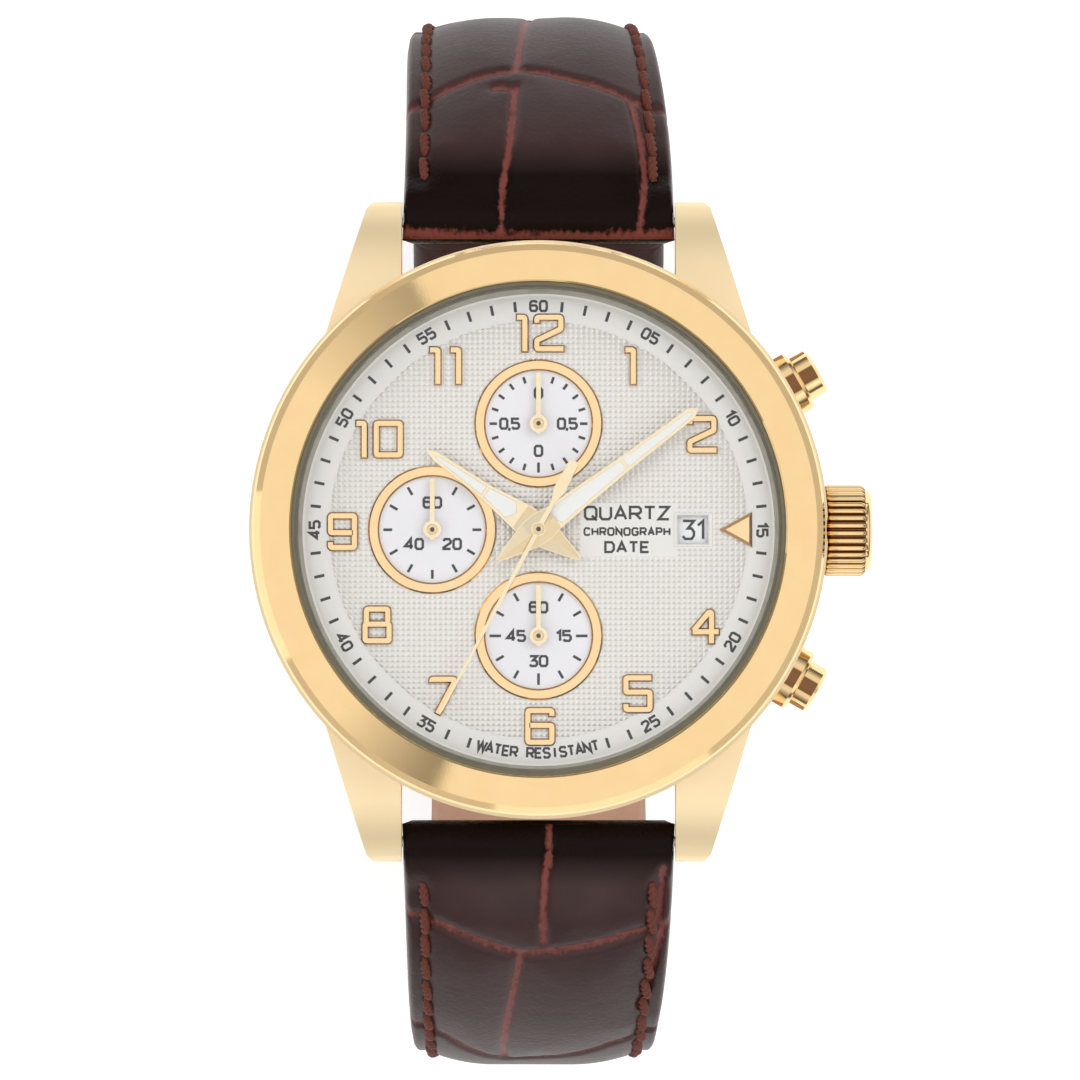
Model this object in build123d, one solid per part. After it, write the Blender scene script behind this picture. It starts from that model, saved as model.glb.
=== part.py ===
from build123d import *
import math
import os

os.makedirs("parts", exist_ok=True)

# Chronograph wristwatch on a buckled two-piece leather strap. Millimetres and degrees.
# +Z points out of the dial, +Y to 12 o'clock, +X to the crown; the origin is the centre of the
# case back's outer face.

# ---- Case, driving dimensions -------------------------------------------------------------------
CASE_R = 21.25
BEZEL_R = CASE_R - 0.25
BORE_R = 18.0
LUG_GAP = 20.2
LUG_REACH = 3.15
LUG_TO_LUG = 2 * (CASE_R + LUG_REACH)
LUG_TIP_R = 1.6
LUG_TIP_X = 12.7
LUG_ROOT_X = 15.62
LUG_BOTTOM_Z = 1.15
SHELF_Z = 1.2
RIM_Z = 0.7
MIDDLE_TOP_Z = 8.7
BEZEL_TOP_Z = 11.05
SIDE_Z = 4.9

FIT = 0.01
RUN = 0.05

# ---- Case back and crystal ----------------------------------------------------------------------
COVER_R = CASE_R - 1.35
COVER_GAP = 0.05
SPIGOT_R_IN = 17.0
SPIGOT_H = 1.0
BACK_SEAL_R = 18.28
BACK_SEAL_WIRE_R = 0.21
BACK_SCREW_R = 18.95
BACK_SCREW_COUNT = 4
SCREW_HEAD_R = 0.7
SCREW_SHANK_R = 0.4
SCREW_HEAD_H = 0.5
SCREW_END_Z = 3.4
SLOT_W = 0.22
SLOT_DEPTH = 0.2

CRYSTAL_R = 17.84
CRYSTAL_Z = 9.9
CRYSTAL_T = 1.35
SEAL_T = 0.26
SEAL_FOOT_R_IN = 17.62
LEDGE_Z = 9.5
LEDGE_W = 0.25
FLANGE_R_IN = 17.35
FLANGE_TOP_R_IN = 17.6

# ---- Dial ---------------------------------------------------------------------------------------
DIAL_R = 17.7
DIAL_Z = 7.2
DIAL_TOP_Z = 7.6
TRACK_R = 15.43
TRACK_EDGE_R = 17.2
TRACK_DROP = 0.15
SUBDIAL_OFFSET = 7.8
SUBDIAL_RING_R = 4.72
SUBDIAL_FACE_R = 3.9
SUBDIAL_DEPTH = 0.12
SUBDIAL_RING_TOP = 0.25
DATE_X = 11.35
DATE_W = 2.35
DATE_H = 2.2
MARKER_T = 0.35
NUMERAL_STROKE = 0.58
NUMERAL_HALF_W = 0.88
NUMERAL_HALF_H = 1.16
NUMERAL_GAP = 0.3
TRIANGLE_TIP_R = 13.3
TRIANGLE_BASE_R = 15.7
TRIANGLE_HALF_H = 1.32

# ---- Hands --------------------------------------------------------------------------------------
HAND_T = 0.2
HOUR_HAND_Z = 8.25
MINUTE_HAND_Z = 8.75
SWEEP_HAND_Z = 9.2
SWEEP_HAND_T = 0.12
SMALL_HAND_Z = 7.95
SMALL_HAND_T = 0.1
HOUR_ANGLE = -54.55
MINUTE_ANGLE = 52.8
SWEEP_ANGLE = 208.1
HOUR_LENGTH = 10.1
MINUTE_LENGTH = 14.66
SWEEP_LENGTH = 15.4
SMALL_LENGTH = 3.75
FRAME_WALL = 0.21
LUME_GAP = 0.015
SWEEP_HUB_R = 0.52
SMALL_HUB_R = 0.66
PIN_HOLE_R = 0.13

# ---- Arbors, wheels and plates ------------------------------------------------------------------
SWEEP_ARBOR_R = 0.25
CANNON_R = 0.5
HOUR_TUBE_R = 0.85
SMALL_ARBOR_R = 0.2
MODULE_SECONDS = 0.12
MODULE_MOTION = 0.12
CANNON_TEETH = 12
MINUTE_WHEEL_TEETH = 36
MINUTE_PINION_TEETH = 10
HOUR_WHEEL_TEETH = 40
CENTRE_TEETH = 64
THIRD_PINION_TEETH = 8
THIRD_TEETH = 60
SECONDS_PINION_TEETH = 8
SWEEP_WHEEL_R = 2.9
COUNTER_WHEEL_R = 1.5
WHEEL_T = 0.2
MOVEMENT_R = 14.3
PLATE_Z = 5.6
PLATE_TOP_Z = 6.7
PLATE_RIM_W = 1.3
BRIDGE_Z = 3.1
BRIDGE_T = 0.4
BOARD_Z = 2.35
BOARD_T = 0.2
HOLDER_Z = 2.25
BATTERY_R = 4.75
BATTERY_T = 2.05
BATTERY_Z = 2.7
BATTERY_XY = 6.6
COIL_RADIUS = 10.3
COIL_LENGTH = 8.0
COIL_W = 1.6
POST_RADIUS = 12.3
POST_R = 0.9
POST_ANGLES = (75, 165, 255)
DATE_RING_R = 13.0
DATE_RING_R_IN = 9.9
DATE_RING_T = 0.3
DATE_DAYS = 31

# ---- Crown and pushers --------------------------------------------------------------------------
CROWN_R = 3.375
CROWN_X = CASE_R - 0.3
CROWN_LENGTH = 3.1
CROWN_CAP_R = 3.0
CROWN_CAP_H = 0.6
CROWN_FLUTES = 36
CROWN_FLUTE_DEPTH = 0.2
CROWN_PULL = 1.0
CROWN_POCKET_R = 1.95
CROWN_WALL = 0.6
CROWN_TUBE_R = 1.3
STEM_R = 0.45
STEM_START_X = 10.9
PINION_X = 11.6
PINION_LENGTH = 1.0
PINION_R = 0.9

PUSHER_ANGLES = {"start": 30, "reset": -30}
COLLAR_R = 2.35
COLLAR_SEAT = CASE_R - 0.95
COLLAR_END = CASE_R + 1.05
COLLAR_FLOOR = COLLAR_SEAT + 0.6
COLLAR_NECK_R = 1.2
CAP_R = 1.785
CAP_INNER_END = COLLAR_END - 0.35
CAP_OUTER_END = COLLAR_END + 1.55
CAP_POCKET_R = 1.3
CAP_POCKET_END = CAP_OUTER_END - 0.75
PUSHER_TRAVEL = 0.9
PUSHER_STEM_R = 0.55
PUSHER_STEM_START = 15.4
CLIP_R = 0.95
CLIP_T = 0.2
CLIP_START = 17.45
SPRING_R = 0.92
SPRING_WIRE_R = 0.1
SPRING_TURNS = 5

# ---- Strap and buckle ---------------------------------------------------------------------------
STRAP_A = 36.0
STRAP_B = 28.5
STRAP_LUG_W = 19.9
STRAP_TAPER = 0.06
LINING_T = 1.2
LUG_BAR_Y = LUG_TO_LUG / 2 - 1.5
LUG_BAR_Z = 2.9
LUG_BAR_LEVEL = 1.9
LUG_LOOP_R = 1.6
BAR_R = 0.75
BAR_TIP_R = 0.4
BAR_TIP_LENGTH = 1.3
BUCKLE_BAR_THETA = -76.3
BUCKLE_BAR_LEVEL = 1.6
BUCKLE_LOOP_R = 1.5
CROSSBAR_THETA = -97.5
CROSSBAR_R = 0.9
BUCKLE_ARM_W = 1.6
BUCKLE_ARM_T = 1.9
BUCKLE_SIDE_GAP = 0.3
TAIL_T = 2.6
TAIL_LINING_T = 1.0
TAIL_END_THETA = -32.0
TAIL_GAP = 0.1
PAD_T = 4.3
LUG_END_T = 3.5
THIN_T = 2.9
KEEPER_T = 1.1
KEEPER_GAP = 0.3
KEEPER_HALF = 2.3
FIXED_KEEPER_THETA = -65.5
FREE_KEEPER_THETA = -50.0
PRONG_W = 2.0
PRONG_T = 1.2
PRONG_EYE_R = 1.35
PRONG_OVERHANG = 0.8
PRONG_SLOT_W = 2.5
HOLE_R = 0.9
HOLE_THETAS = (-63, -53, -43)

COVER_RECESS_R = COVER_R + COVER_GAP
FLANGE_R = BORE_R - COVER_GAP
LUG_THETA = math.degrees(math.acos(LUG_BAR_Y / (STRAP_A + LUG_BAR_LEVEL)))
STRAP_CENTRE_Z = LUG_BAR_Z - (STRAP_B + LUG_BAR_LEVEL) * math.sin(math.radians(LUG_THETA))


# ---- Shared shapes ------------------------------------------------------------------------------
def turned(*points):
    """A solid of revolution about Z from its (radius, height) corners."""
    return revolve(make_face(Plane.XZ * Polyline(*points, close=True)), Axis.Z)


def rod(radius, start, end):
    """A cylinder on Z from one height to another."""
    return Pos(0, 0, start) * Cylinder(radius, end - start, align=(Align.CENTER, Align.CENTER, Align.MIN))


def tube(outer, inner, start, end):
    return rod(outer, start, end) - rod(inner, start - 1, end + 1)


def block(x, y, z):
    """A box between two values along each axis."""
    size = [high - low for low, high in (x, y, z)]
    return Pos(x[0], y[0], z[0]) * Box(*size, align=(Align.MIN, Align.MIN, Align.MIN))


def radial(angle):
    """The plane whose normal runs out from the case axis at the height of crown and pushers."""
    a = math.radians(angle)
    return Plane(origin=(0, 0, SIDE_Z), x_dir=(0, 0, 1), z_dir=(math.cos(a), math.sin(a), 0))


def at_polar(radius, angle, height=0.0):
    a = math.radians(angle)
    return Pos(radius * math.cos(a), radius * math.sin(a), height)


def clock(angle):
    """A turn from 12 o'clock, clockwise as seen on the dial."""
    return Rot(0, 0, -angle)


def flat(points, height, thickness):
    """A plate with the given outline."""
    return extrude(Pos(0, 0, height) * make_face(Polyline(*points, close=True)), thickness, dir=(0, 0, 1))


def gear_points(teeth, module, turn=0.0):
    """Straight-sided teeth, four points to each, with the first tooth on the angle given."""
    tip = module * (teeth / 2 + 0.9)
    root = module * (teeth / 2 - 1.1)
    pitch = 2 * math.pi / teeth
    points = []
    for k in range(teeth):
        middle = math.radians(turn) + k * pitch
        for share, radius in ((-0.27, root), (-0.12, tip), (0.12, tip), (0.27, root)):
            a = middle + share * pitch
            points.append((radius * math.cos(a), radius * math.sin(a)))
    return points


def gear(teeth, module, height, thickness, bore, turn=0.0):
    blank = flat(gear_points(teeth, module, turn), height, thickness)
    return blank - rod(bore, height - 1, height + thickness + 1)


# ---- Places of the dial train -------------------------------------------------------------------
SUBDIAL_CENTRES = {
    "tenths": (0, SUBDIAL_OFFSET),
    "chrono_minutes": (-SUBDIAL_OFFSET, 0),
    "small_seconds": (0, -SUBDIAL_OFFSET),
}
CENTRE_TO_THIRD = MODULE_SECONDS * (CENTRE_TEETH + THIRD_PINION_TEETH) / 2
THIRD_TO_SECONDS = MODULE_SECONDS * (THIRD_TEETH + SECONDS_PINION_TEETH) / 2
THIRD_Y = -(CENTRE_TO_THIRD**2 - THIRD_TO_SECONDS**2 + SUBDIAL_OFFSET**2) / (2 * SUBDIAL_OFFSET)
THIRD_X = -math.sqrt(CENTRE_TO_THIRD**2 - THIRD_Y**2)
MOTION_DISTANCE = MODULE_MOTION * (CANNON_TEETH + MINUTE_WHEEL_TEETH) / 2
MODULE_HOUR = 2 * MOTION_DISTANCE / (MINUTE_PINION_TEETH + HOUR_WHEEL_TEETH)
MOTION_ANGLE = 35.0
MOTION_X = MOTION_DISTANCE * math.cos(math.radians(MOTION_ANGLE))
MOTION_Y = MOTION_DISTANCE * math.sin(math.radians(MOTION_ANGLE))
MOTION_Z = 6.25
HOUR_WHEEL_Z = 6.75
CENTRE_WHEEL_Z = 5.0
THIRD_WHEEL_Z = 4.4
SWEEP_WHEEL_Z = 3.9
SMALL_WHEEL_Z = 4.4


# ---- Case ---------------------------------------------------------------------------------------
def lug():
    """One lug, at the upper right: its side view crossed with its plan."""
    tip_y = LUG_TO_LUG / 2 - LUG_TIP_R
    tip_z = LUG_BOTTOM_Z + LUG_TIP_R
    c = LUG_TIP_R * math.sqrt(0.5)
    root_y = math.sqrt(CASE_R**2 - LUG_ROOT_X**2)
    side = make_face(
        Plane.YZ
        * Curve(
            [
                Line((14, 2.0), (14, 8.3)),
                ThreePointArc((14, 8.3), (20.3, 6.75), (tip_y + c, tip_z + c)),
                ThreePointArc((tip_y + c, tip_z + c), (tip_y + LUG_TIP_R, tip_z), (tip_y + c, tip_z - c)),
                ThreePointArc((tip_y + c, tip_z - c), (tip_y + 0.61, tip_z - 1.479), (tip_y, LUG_BOTTOM_Z)),
                Line((tip_y, LUG_BOTTOM_Z), (14, 2.0)),
            ]
        )
    )
    side_solid = extrude(Pos(LUG_GAP / 2, 0, 0) * side, LUG_ROOT_X, dir=(1, 0, 0))
    plan = make_face(
        Polyline(
            (LUG_GAP / 2, 12),
            (LUG_GAP / 2, LUG_TO_LUG),
            (LUG_TIP_X - 0.5, LUG_TO_LUG / 2 + 0.01),
            (LUG_TIP_X, LUG_TO_LUG / 2 - 0.5),
            (LUG_ROOT_X, root_y),
            (LUG_ROOT_X, 12),
            close=True,
        )
    )
    return side_solid & extrude(plan, MIDDLE_TOP_Z, dir=(0, 0, 1))


def case_middle():
    body = turned(
        (BORE_R - 1, SHELF_Z),
        (COVER_RECESS_R, SHELF_Z),
        (COVER_RECESS_R, RIM_Z),
        (COVER_RECESS_R + 0.5, RIM_Z),
        (CASE_R, RIM_Z + 0.9),
        (CASE_R, MIDDLE_TOP_Z - 0.3),
        (CASE_R - 0.3, MIDDLE_TOP_Z),
        (BORE_R - 1, MIDDLE_TOP_Z),
    )
    corner = lug()
    for piece in (corner, mirror(corner, Plane.YZ)):
        body += piece
        body += mirror(piece, Plane.XZ)
    body -= rod(BORE_R, 0, MIDDLE_TOP_Z + 1)
    body -= rod(COVER_RECESS_R, 0, SHELF_Z)
    seal = BACK_SEAL_WIRE_R
    body -= tube(BACK_SEAL_R + seal, BACK_SEAL_R - seal, SHELF_Z, SHELF_Z + 2 * seal)
    for k in range(BACK_SCREW_COUNT):
        place = at_polar(BACK_SCREW_R, 45 + k * 360 / BACK_SCREW_COUNT)
        body -= place * rod(SCREW_SHANK_R + FIT, 0, SCREW_END_Z + 0.1)
    for side in (1, -1):
        hole = Plane.YZ * Pos(side * LUG_BAR_Y, LUG_BAR_Z, 0) * rod(BAR_TIP_R + RUN, -11.5, 11.5)
        body -= hole
    body -= radial(0) * rod(CROWN_TUBE_R + FIT, BORE_R - 2, CASE_R + 1)
    body -= radial(0) * rod(CROWN_R + 0.25, CROWN_X - 0.1, CASE_R + 1)
    for angle in PUSHER_ANGLES.values():
        body -= radial(angle) * rod(COLLAR_NECK_R + FIT, BORE_R - 2, CASE_R + 1)
        body -= radial(angle) * rod(COLLAR_R + FIT, COLLAR_SEAT, CASE_R + 2)
    return body


def bezel():
    bore = CRYSTAL_R + SEAL_T + 2 * FIT
    return turned(
        (bore - LEDGE_W, MIDDLE_TOP_Z),
        (BEZEL_R - 0.4, MIDDLE_TOP_Z),
        (BEZEL_R, MIDDLE_TOP_Z + 0.35),
        (BEZEL_R, BEZEL_TOP_Z - 1.0),
        (BEZEL_R - 0.15, BEZEL_TOP_Z - 0.66),
        (BEZEL_R - 0.6, BEZEL_TOP_Z - 0.4),
        (bore + 0.13, BEZEL_TOP_Z),
        (bore, BEZEL_TOP_Z - 0.1),
        (bore, LEDGE_Z),
        (bore - LEDGE_W, LEDGE_Z),
    )


def crystal():
    top = CRYSTAL_Z + CRYSTAL_T
    return turned(
        (0, CRYSTAL_Z),
        (CRYSTAL_R, CRYSTAL_Z),
        (CRYSTAL_R, top - 0.25),
        (CRYSTAL_R - 0.25, top),
        (0, top),
    )


def crystal_gasket():
    outer = CRYSTAL_R + SEAL_T
    return turned(
        (SEAL_FOOT_R_IN, LEDGE_Z),
        (outer, LEDGE_Z),
        (outer, BEZEL_TOP_Z - 0.25),
        (CRYSTAL_R + FIT, BEZEL_TOP_Z - 0.25),
        (CRYSTAL_R + FIT, CRYSTAL_Z - FIT),
        (SEAL_FOOT_R_IN, CRYSTAL_Z - FIT),
    )


def flange_ring():
    """The sloped wall that stands on the dial's edge under the crystal seal."""
    bottom = DIAL_TOP_Z - TRACK_DROP
    upper_r = CRYSTAL_R + SEAL_T - LEDGE_W
    return turned(
        (FLANGE_R_IN, bottom),
        (FLANGE_R, bottom),
        (FLANGE_R, MIDDLE_TOP_Z - FIT),
        (upper_r - RUN, MIDDLE_TOP_Z - FIT),
        (upper_r - RUN, LEDGE_Z - FIT),
        (FLANGE_TOP_R_IN, LEDGE_Z - FIT),
    )


def case_back():
    cover = turned(
        (0, 0),
        (COVER_R - 0.25, 0),
        (COVER_R, 0.25),
        (COVER_R, SHELF_Z - FIT),
        (BORE_R - RUN, SHELF_Z - FIT),
        (BORE_R - RUN, SHELF_Z + SPIGOT_H),
        (SPIGOT_R_IN, SHELF_Z + SPIGOT_H),
        (SPIGOT_R_IN, SHELF_Z),
        (0, SHELF_Z),
    )
    for k in range(BACK_SCREW_COUNT):
        place = at_polar(BACK_SCREW_R, 45 + k * 360 / BACK_SCREW_COUNT)
        cover -= place * rod(SCREW_SHANK_R + RUN, -1, SHELF_Z + 1)
        cover -= place * rod(SCREW_HEAD_R + RUN, -1, SCREW_HEAD_H + 0.1)
    return cover


def case_back_gasket():
    return Pos(0, 0, SHELF_Z + BACK_SEAL_WIRE_R) * Torus(BACK_SEAL_R, BACK_SEAL_WIRE_R - FIT)


def slotted_screw(head_r, shank_r, low, head_h, end):
    """A cheese-head screw that points up, its slotted head at the low end."""
    screw = rod(head_r, low, low + head_h) + rod(shank_r, low, end)
    return screw - block((-head_r, head_r), (-SLOT_W / 2, SLOT_W / 2), (low, low + SLOT_DEPTH))


def case_back_screws():
    one = slotted_screw(SCREW_HEAD_R, SCREW_SHANK_R, 0.1, SCREW_HEAD_H, SCREW_END_Z)
    angles = [45 + k * 360 / BACK_SCREW_COUNT for k in range(BACK_SCREW_COUNT)]
    return Compound([at_polar(BACK_SCREW_R, a) * one for a in angles])


# ---- Dial and its trim --------------------------------------------------------------------------
def dial():
    low = DIAL_TOP_Z - TRACK_DROP
    plate = turned(
        (0, DIAL_Z), (DIAL_R, DIAL_Z), (DIAL_R, low),
        (TRACK_EDGE_R, low), (TRACK_R, DIAL_TOP_Z), (0, DIAL_TOP_Z)
    )
    plate -= rod(HOUR_TUBE_R + RUN, 0, 20)
    for x, y in SUBDIAL_CENTRES.values():
        plate -= Pos(x, y, 0) * rod(SUBDIAL_RING_R + FIT, DIAL_TOP_Z - SUBDIAL_DEPTH, 20)
        plate -= Pos(x, y, 0) * rod(SMALL_ARBOR_R + RUN, 0, 20)
    half_w, half_h = DATE_W / 2, DATE_H / 2
    return plate - block((DATE_X - half_w, DATE_X + half_w), (-half_h, half_h), (0, 20))


def subdial_rings():
    floor = DIAL_TOP_Z - SUBDIAL_DEPTH
    top = DIAL_TOP_Z + SUBDIAL_RING_TOP
    ring = turned(
        (SUBDIAL_FACE_R, floor),
        (SUBDIAL_RING_R, floor),
        (SUBDIAL_RING_R, top - 0.12),
        (SUBDIAL_RING_R - 0.12, top),
        (SUBDIAL_FACE_R + 0.12, top),
        (SUBDIAL_FACE_R, top - 0.12),
    )
    return Compound([Pos(x, y, 0) * ring for x, y in SUBDIAL_CENTRES.values()])


W, H = NUMERAL_HALF_W, NUMERAL_HALF_H
DIGIT_STROKES = {
    "0": [[(-W, -H), (W, -H), (W, H), (-W, H), (-W, -H)]],
    "1": [[(-0.32, H - 0.25), (-0.32, H), (0.32, H), (0.32, -H)]],
    "2": [[(-W, H - 0.45), (-W, H), (W, H), (W, 0.3), (-W, -0.55), (-W, -H), (W, -H), (W, -H + 0.4)]],
    "4": [[(0.5, -H), (0.5, H), (-W, -0.5), (W + 0.05, -0.5)]],
    "5": [[(W, H), (-W, H), (-W, 0.12), (W, 0.12), (W, -H), (-W, -H), (-W, -H + 0.4)]],
    "6": [[(W, H - 0.4), (W, H), (-W, H), (-W, -H), (W, -H), (W, 0.08), (-W, 0.08)]],
    "7": [[(-W, H), (W, H), (-0.45, -H)]],
    "8": [
        [(0.1 - W, 0.06), (W - 0.1, 0.06), (W - 0.1, H), (0.1 - W, H), (0.1 - W, 0.06)],
        [(-W, 0.0), (-W, -H), (W, -H), (W, 0.0)],
    ],
    "9": [[(-W, 0.4 - H), (-W, -H), (W, -H), (W, H), (-W, H), (-W, -0.08), (W, -0.08)]],
}
DIGIT_HALF_WIDTH = {d: (0.32 if d == "1" else W) + NUMERAL_STROKE / 2 for d in DIGIT_STROKES}
NUMERAL_PLACES = {
    "12": (0.0, 14.45),
    "1": (6.65, 12.05),
    "2": (12.0, 7.0),
    "4": (12.2, -7.0),
    "5": (7.3, -12.05),
    "6": (0.1, -14.45),
    "7": (-6.95, -12.15),
    "8": (-11.85, -7.0),
    "9": (-14.4, -0.15),
    "10": (-11.8, 6.65),
    "11": (-6.95, 12.05),
}


def digit(name):
    """A digit as rounded strokes of one width."""
    outline = Sketch()
    for path in DIGIT_STROKES[name]:
        for (x0, y0), (x1, y1) in zip(path, path[1:]):
            length = math.hypot(x1 - x0, y1 - y0)
            turn = math.degrees(math.atan2(y1 - y0, x1 - x0))
            slot = SlotCenterToCenter(length, NUMERAL_STROKE)
            outline += Pos((x0 + x1) / 2, (y0 + y1) / 2) * Rot(0, 0, turn) * slot
    return outline


def hour_markers():
    pieces = []
    for text, (x, y) in NUMERAL_PLACES.items():
        widths = [2 * DIGIT_HALF_WIDTH[d] for d in text]
        start = -(sum(widths) + NUMERAL_GAP * (len(text) - 1)) / 2
        for name, width in zip(text, widths):
            place = Pos(x + start + width / 2, y, DIAL_TOP_Z)
            pieces.append(extrude(place * digit(name), MARKER_T, dir=(0, 0, 1)))
            start += width + NUMERAL_GAP
    triangle = [
        (TRIANGLE_TIP_R, 0.25),
        (TRIANGLE_TIP_R, -0.25),
        (TRIANGLE_BASE_R - 0.3, -TRIANGLE_HALF_H),
        (TRIANGLE_BASE_R, -TRIANGLE_HALF_H),
        (TRIANGLE_BASE_R, TRIANGLE_HALF_H),
        (TRIANGLE_BASE_R - 0.3, TRIANGLE_HALF_H),
    ]
    pieces.append(flat(triangle, DIAL_TOP_Z, MARKER_T))
    return Compound([solid for piece in pieces for solid in piece.solids()])


# ---- Hands --------------------------------------------------------------------------------------
# Half widths of each frame hand at heights along its length, tail first.
HOUR_OUTLINE = [(-3.7, 0.17), (-0.9, 1.02), (1.3, 1.1), (4.8, 0.58), (9.2, 0.34), (HOUR_LENGTH, 0.02)]
MINUTE_OUTLINE = [
    (-3.74, 0.17), (-0.8, 1.05), (0.3, 1.13), (1.7, 0.9), (7.93, 0.58), (14.1, 0.42), (MINUTE_LENGTH, 0.02)
]
HOUR_BARS = (2.0, 4.8)
MINUTE_BARS = (1.2, 7.93)


def mirrored(outline):
    """A closed outline, tail to tip up one side and back down the other."""
    right = [(half, along) for along, half in outline]
    return right + [(-x, y) for x, y in reversed(right)]


def half_width(outline, along):
    for (a0, h0), (a1, h1) in zip(outline, outline[1:]):
        if a0 <= along <= a1:
            return h0 + (h1 - h0) * (along - a0) / (a1 - a0)
    raise ValueError("outside the hand")


def windows(outline, bars, inset):
    """The two openings of a frame hand: one each side of its crossbar."""
    base, cross = bars
    low, high = base + 0.5, cross - FRAME_WALL / 2
    tip_low, tip_high = cross + FRAME_WALL / 2, outline[-2][0]
    lower = [
        (base + inset, 0.01),
        (low + inset, half_width(outline, low) - FRAME_WALL - inset),
        (high - inset, half_width(outline, high) - FRAME_WALL - inset),
    ]
    upper = [
        (tip_low + inset, half_width(outline, tip_low) - FRAME_WALL - inset),
        (tip_high - 0.25 - inset, half_width(outline, tip_high) - FRAME_WALL - inset),
        (tip_high + 0.1 - inset, 0.01),
    ]
    return [mirrored(lower), mirrored(upper)]


def frame_hand(outline, bars, angle, height, bore):
    hand = flat(mirrored(outline), height, HAND_T)
    for window in windows(outline, bars, 0):
        hand -= flat(window, height - 1, 3)
    return clock(angle) * (hand - rod(bore, 0, 20))


def lume(outline, bars, angle, height):
    fills = [flat(w, height + 0.02, HAND_T - 0.05) for w in windows(outline, bars, LUME_GAP)]
    return Compound([clock(angle) * fill for fill in fills])


def hour_hand():
    return frame_hand(HOUR_OUTLINE, HOUR_BARS, HOUR_ANGLE, HOUR_HAND_Z, HOUR_TUBE_R + FIT)


def hour_hand_lume():
    return lume(HOUR_OUTLINE, HOUR_BARS, HOUR_ANGLE, HOUR_HAND_Z)


def minute_hand():
    return frame_hand(MINUTE_OUTLINE, MINUTE_BARS, MINUTE_ANGLE, MINUTE_HAND_Z, CANNON_R + FIT)


def minute_hand_lume():
    return lume(MINUTE_OUTLINE, MINUTE_BARS, MINUTE_ANGLE, MINUTE_HAND_Z)


def hub(radius, height, thickness, arbor_r):
    """A hand's boss: bored for its arbor, with a smaller hole through the crown of the boss."""
    boss = rod(radius, height - 0.08, height + thickness + 0.12)
    return boss - rod(arbor_r + FIT, 0, height + thickness) - rod(PIN_HOLE_R, 0, 20)


def chrono_seconds_hand():
    needle = mirrored([(0.2, 0.16), (SWEEP_LENGTH - 0.5, 0.085), (SWEEP_LENGTH, 0.03)])
    paddle = mirrored([(-5.65, 0.2), (-5.45, 0.36), (-3.2, 0.43), (-2.3, 0.15), (-0.2, 0.2)])
    hand = flat(needle, SWEEP_HAND_Z, SWEEP_HAND_T) + flat(paddle, SWEEP_HAND_Z, SWEEP_HAND_T)
    hand -= rod(SWEEP_HUB_R - 0.05, 0, 20)
    return clock(SWEEP_ANGLE) * (hand + hub(SWEEP_HUB_R, SWEEP_HAND_Z, SWEEP_HAND_T, SWEEP_ARBOR_R))


def small_hand(name):
    """A sub-dial hand, pointing to 12."""
    x, y = SUBDIAL_CENTRES[name]
    needle = mirrored([
        (-0.75, 0.12), (-0.5, 0.2), (0.5, 0.17), (SMALL_LENGTH - 0.1, 0.17), (SMALL_LENGTH, 0.08)
    ])
    hand = flat(needle, SMALL_HAND_Z, SMALL_HAND_T) - rod(SMALL_HUB_R - 0.05, 0, 20)
    return Pos(x, y, 0) * (hand + hub(SMALL_HUB_R, SMALL_HAND_Z, SMALL_HAND_T, SMALL_ARBOR_R))


# ---- Arbors and wheels --------------------------------------------------------------------------
def chrono_seconds_wheel():
    wheel = gear(48, 2 * SWEEP_WHEEL_R / 48, SWEEP_WHEEL_Z, WHEEL_T, SWEEP_ARBOR_R / 2)
    return wheel + rod(SWEEP_ARBOR_R, SWEEP_WHEEL_Z - 0.6, SWEEP_HAND_Z + SWEEP_HAND_T - FIT)


def cannon_pinion():
    """The centre tube with the wheel that the train turns and the pinion of the motion work."""
    bore = SWEEP_ARBOR_R + RUN
    tube_part = tube(CANNON_R, bore, SWEEP_WHEEL_Z + 0.6, MINUTE_HAND_Z + HAND_T)
    centre = gear(CENTRE_TEETH, MODULE_SECONDS, CENTRE_WHEEL_Z, WHEEL_T, bore)
    pinion = gear(CANNON_TEETH, MODULE_MOTION, MOTION_Z, WHEEL_T, bore, turn=MOTION_ANGLE)
    return tube_part + centre + pinion


def hour_wheel():
    bore = CANNON_R + RUN
    turn = MOTION_ANGLE + 180 / HOUR_WHEEL_TEETH
    wheel = gear(HOUR_WHEEL_TEETH, MODULE_HOUR, HOUR_WHEEL_Z, WHEEL_T, bore, turn=turn)
    return wheel + tube(HOUR_TUBE_R, bore, HOUR_WHEEL_Z, HOUR_HAND_Z + HAND_T)


def minute_wheel():
    turn = MOTION_ANGLE + 180 + 180 / MINUTE_WHEEL_TEETH
    wheel = gear(MINUTE_WHEEL_TEETH, MODULE_MOTION, MOTION_Z, WHEEL_T, 0.1, turn=turn)
    pinion_length = HOUR_WHEEL_Z + WHEEL_T - MOTION_Z
    pinion = gear(MINUTE_PINION_TEETH, MODULE_HOUR, MOTION_Z, pinion_length, 0.1, turn=MOTION_ANGLE)
    pivot = rod(0.15, PLATE_Z + 0.1, HOUR_WHEEL_Z + WHEEL_T)
    return Pos(MOTION_X, MOTION_Y, 0) * (wheel + pinion + pivot)


THIRD_TO_CENTRE_ANGLE = math.degrees(math.atan2(-THIRD_Y, -THIRD_X))
THIRD_TO_SECONDS_ANGLE = math.degrees(math.atan2(-SUBDIAL_OFFSET - THIRD_Y, -THIRD_X))


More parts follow.
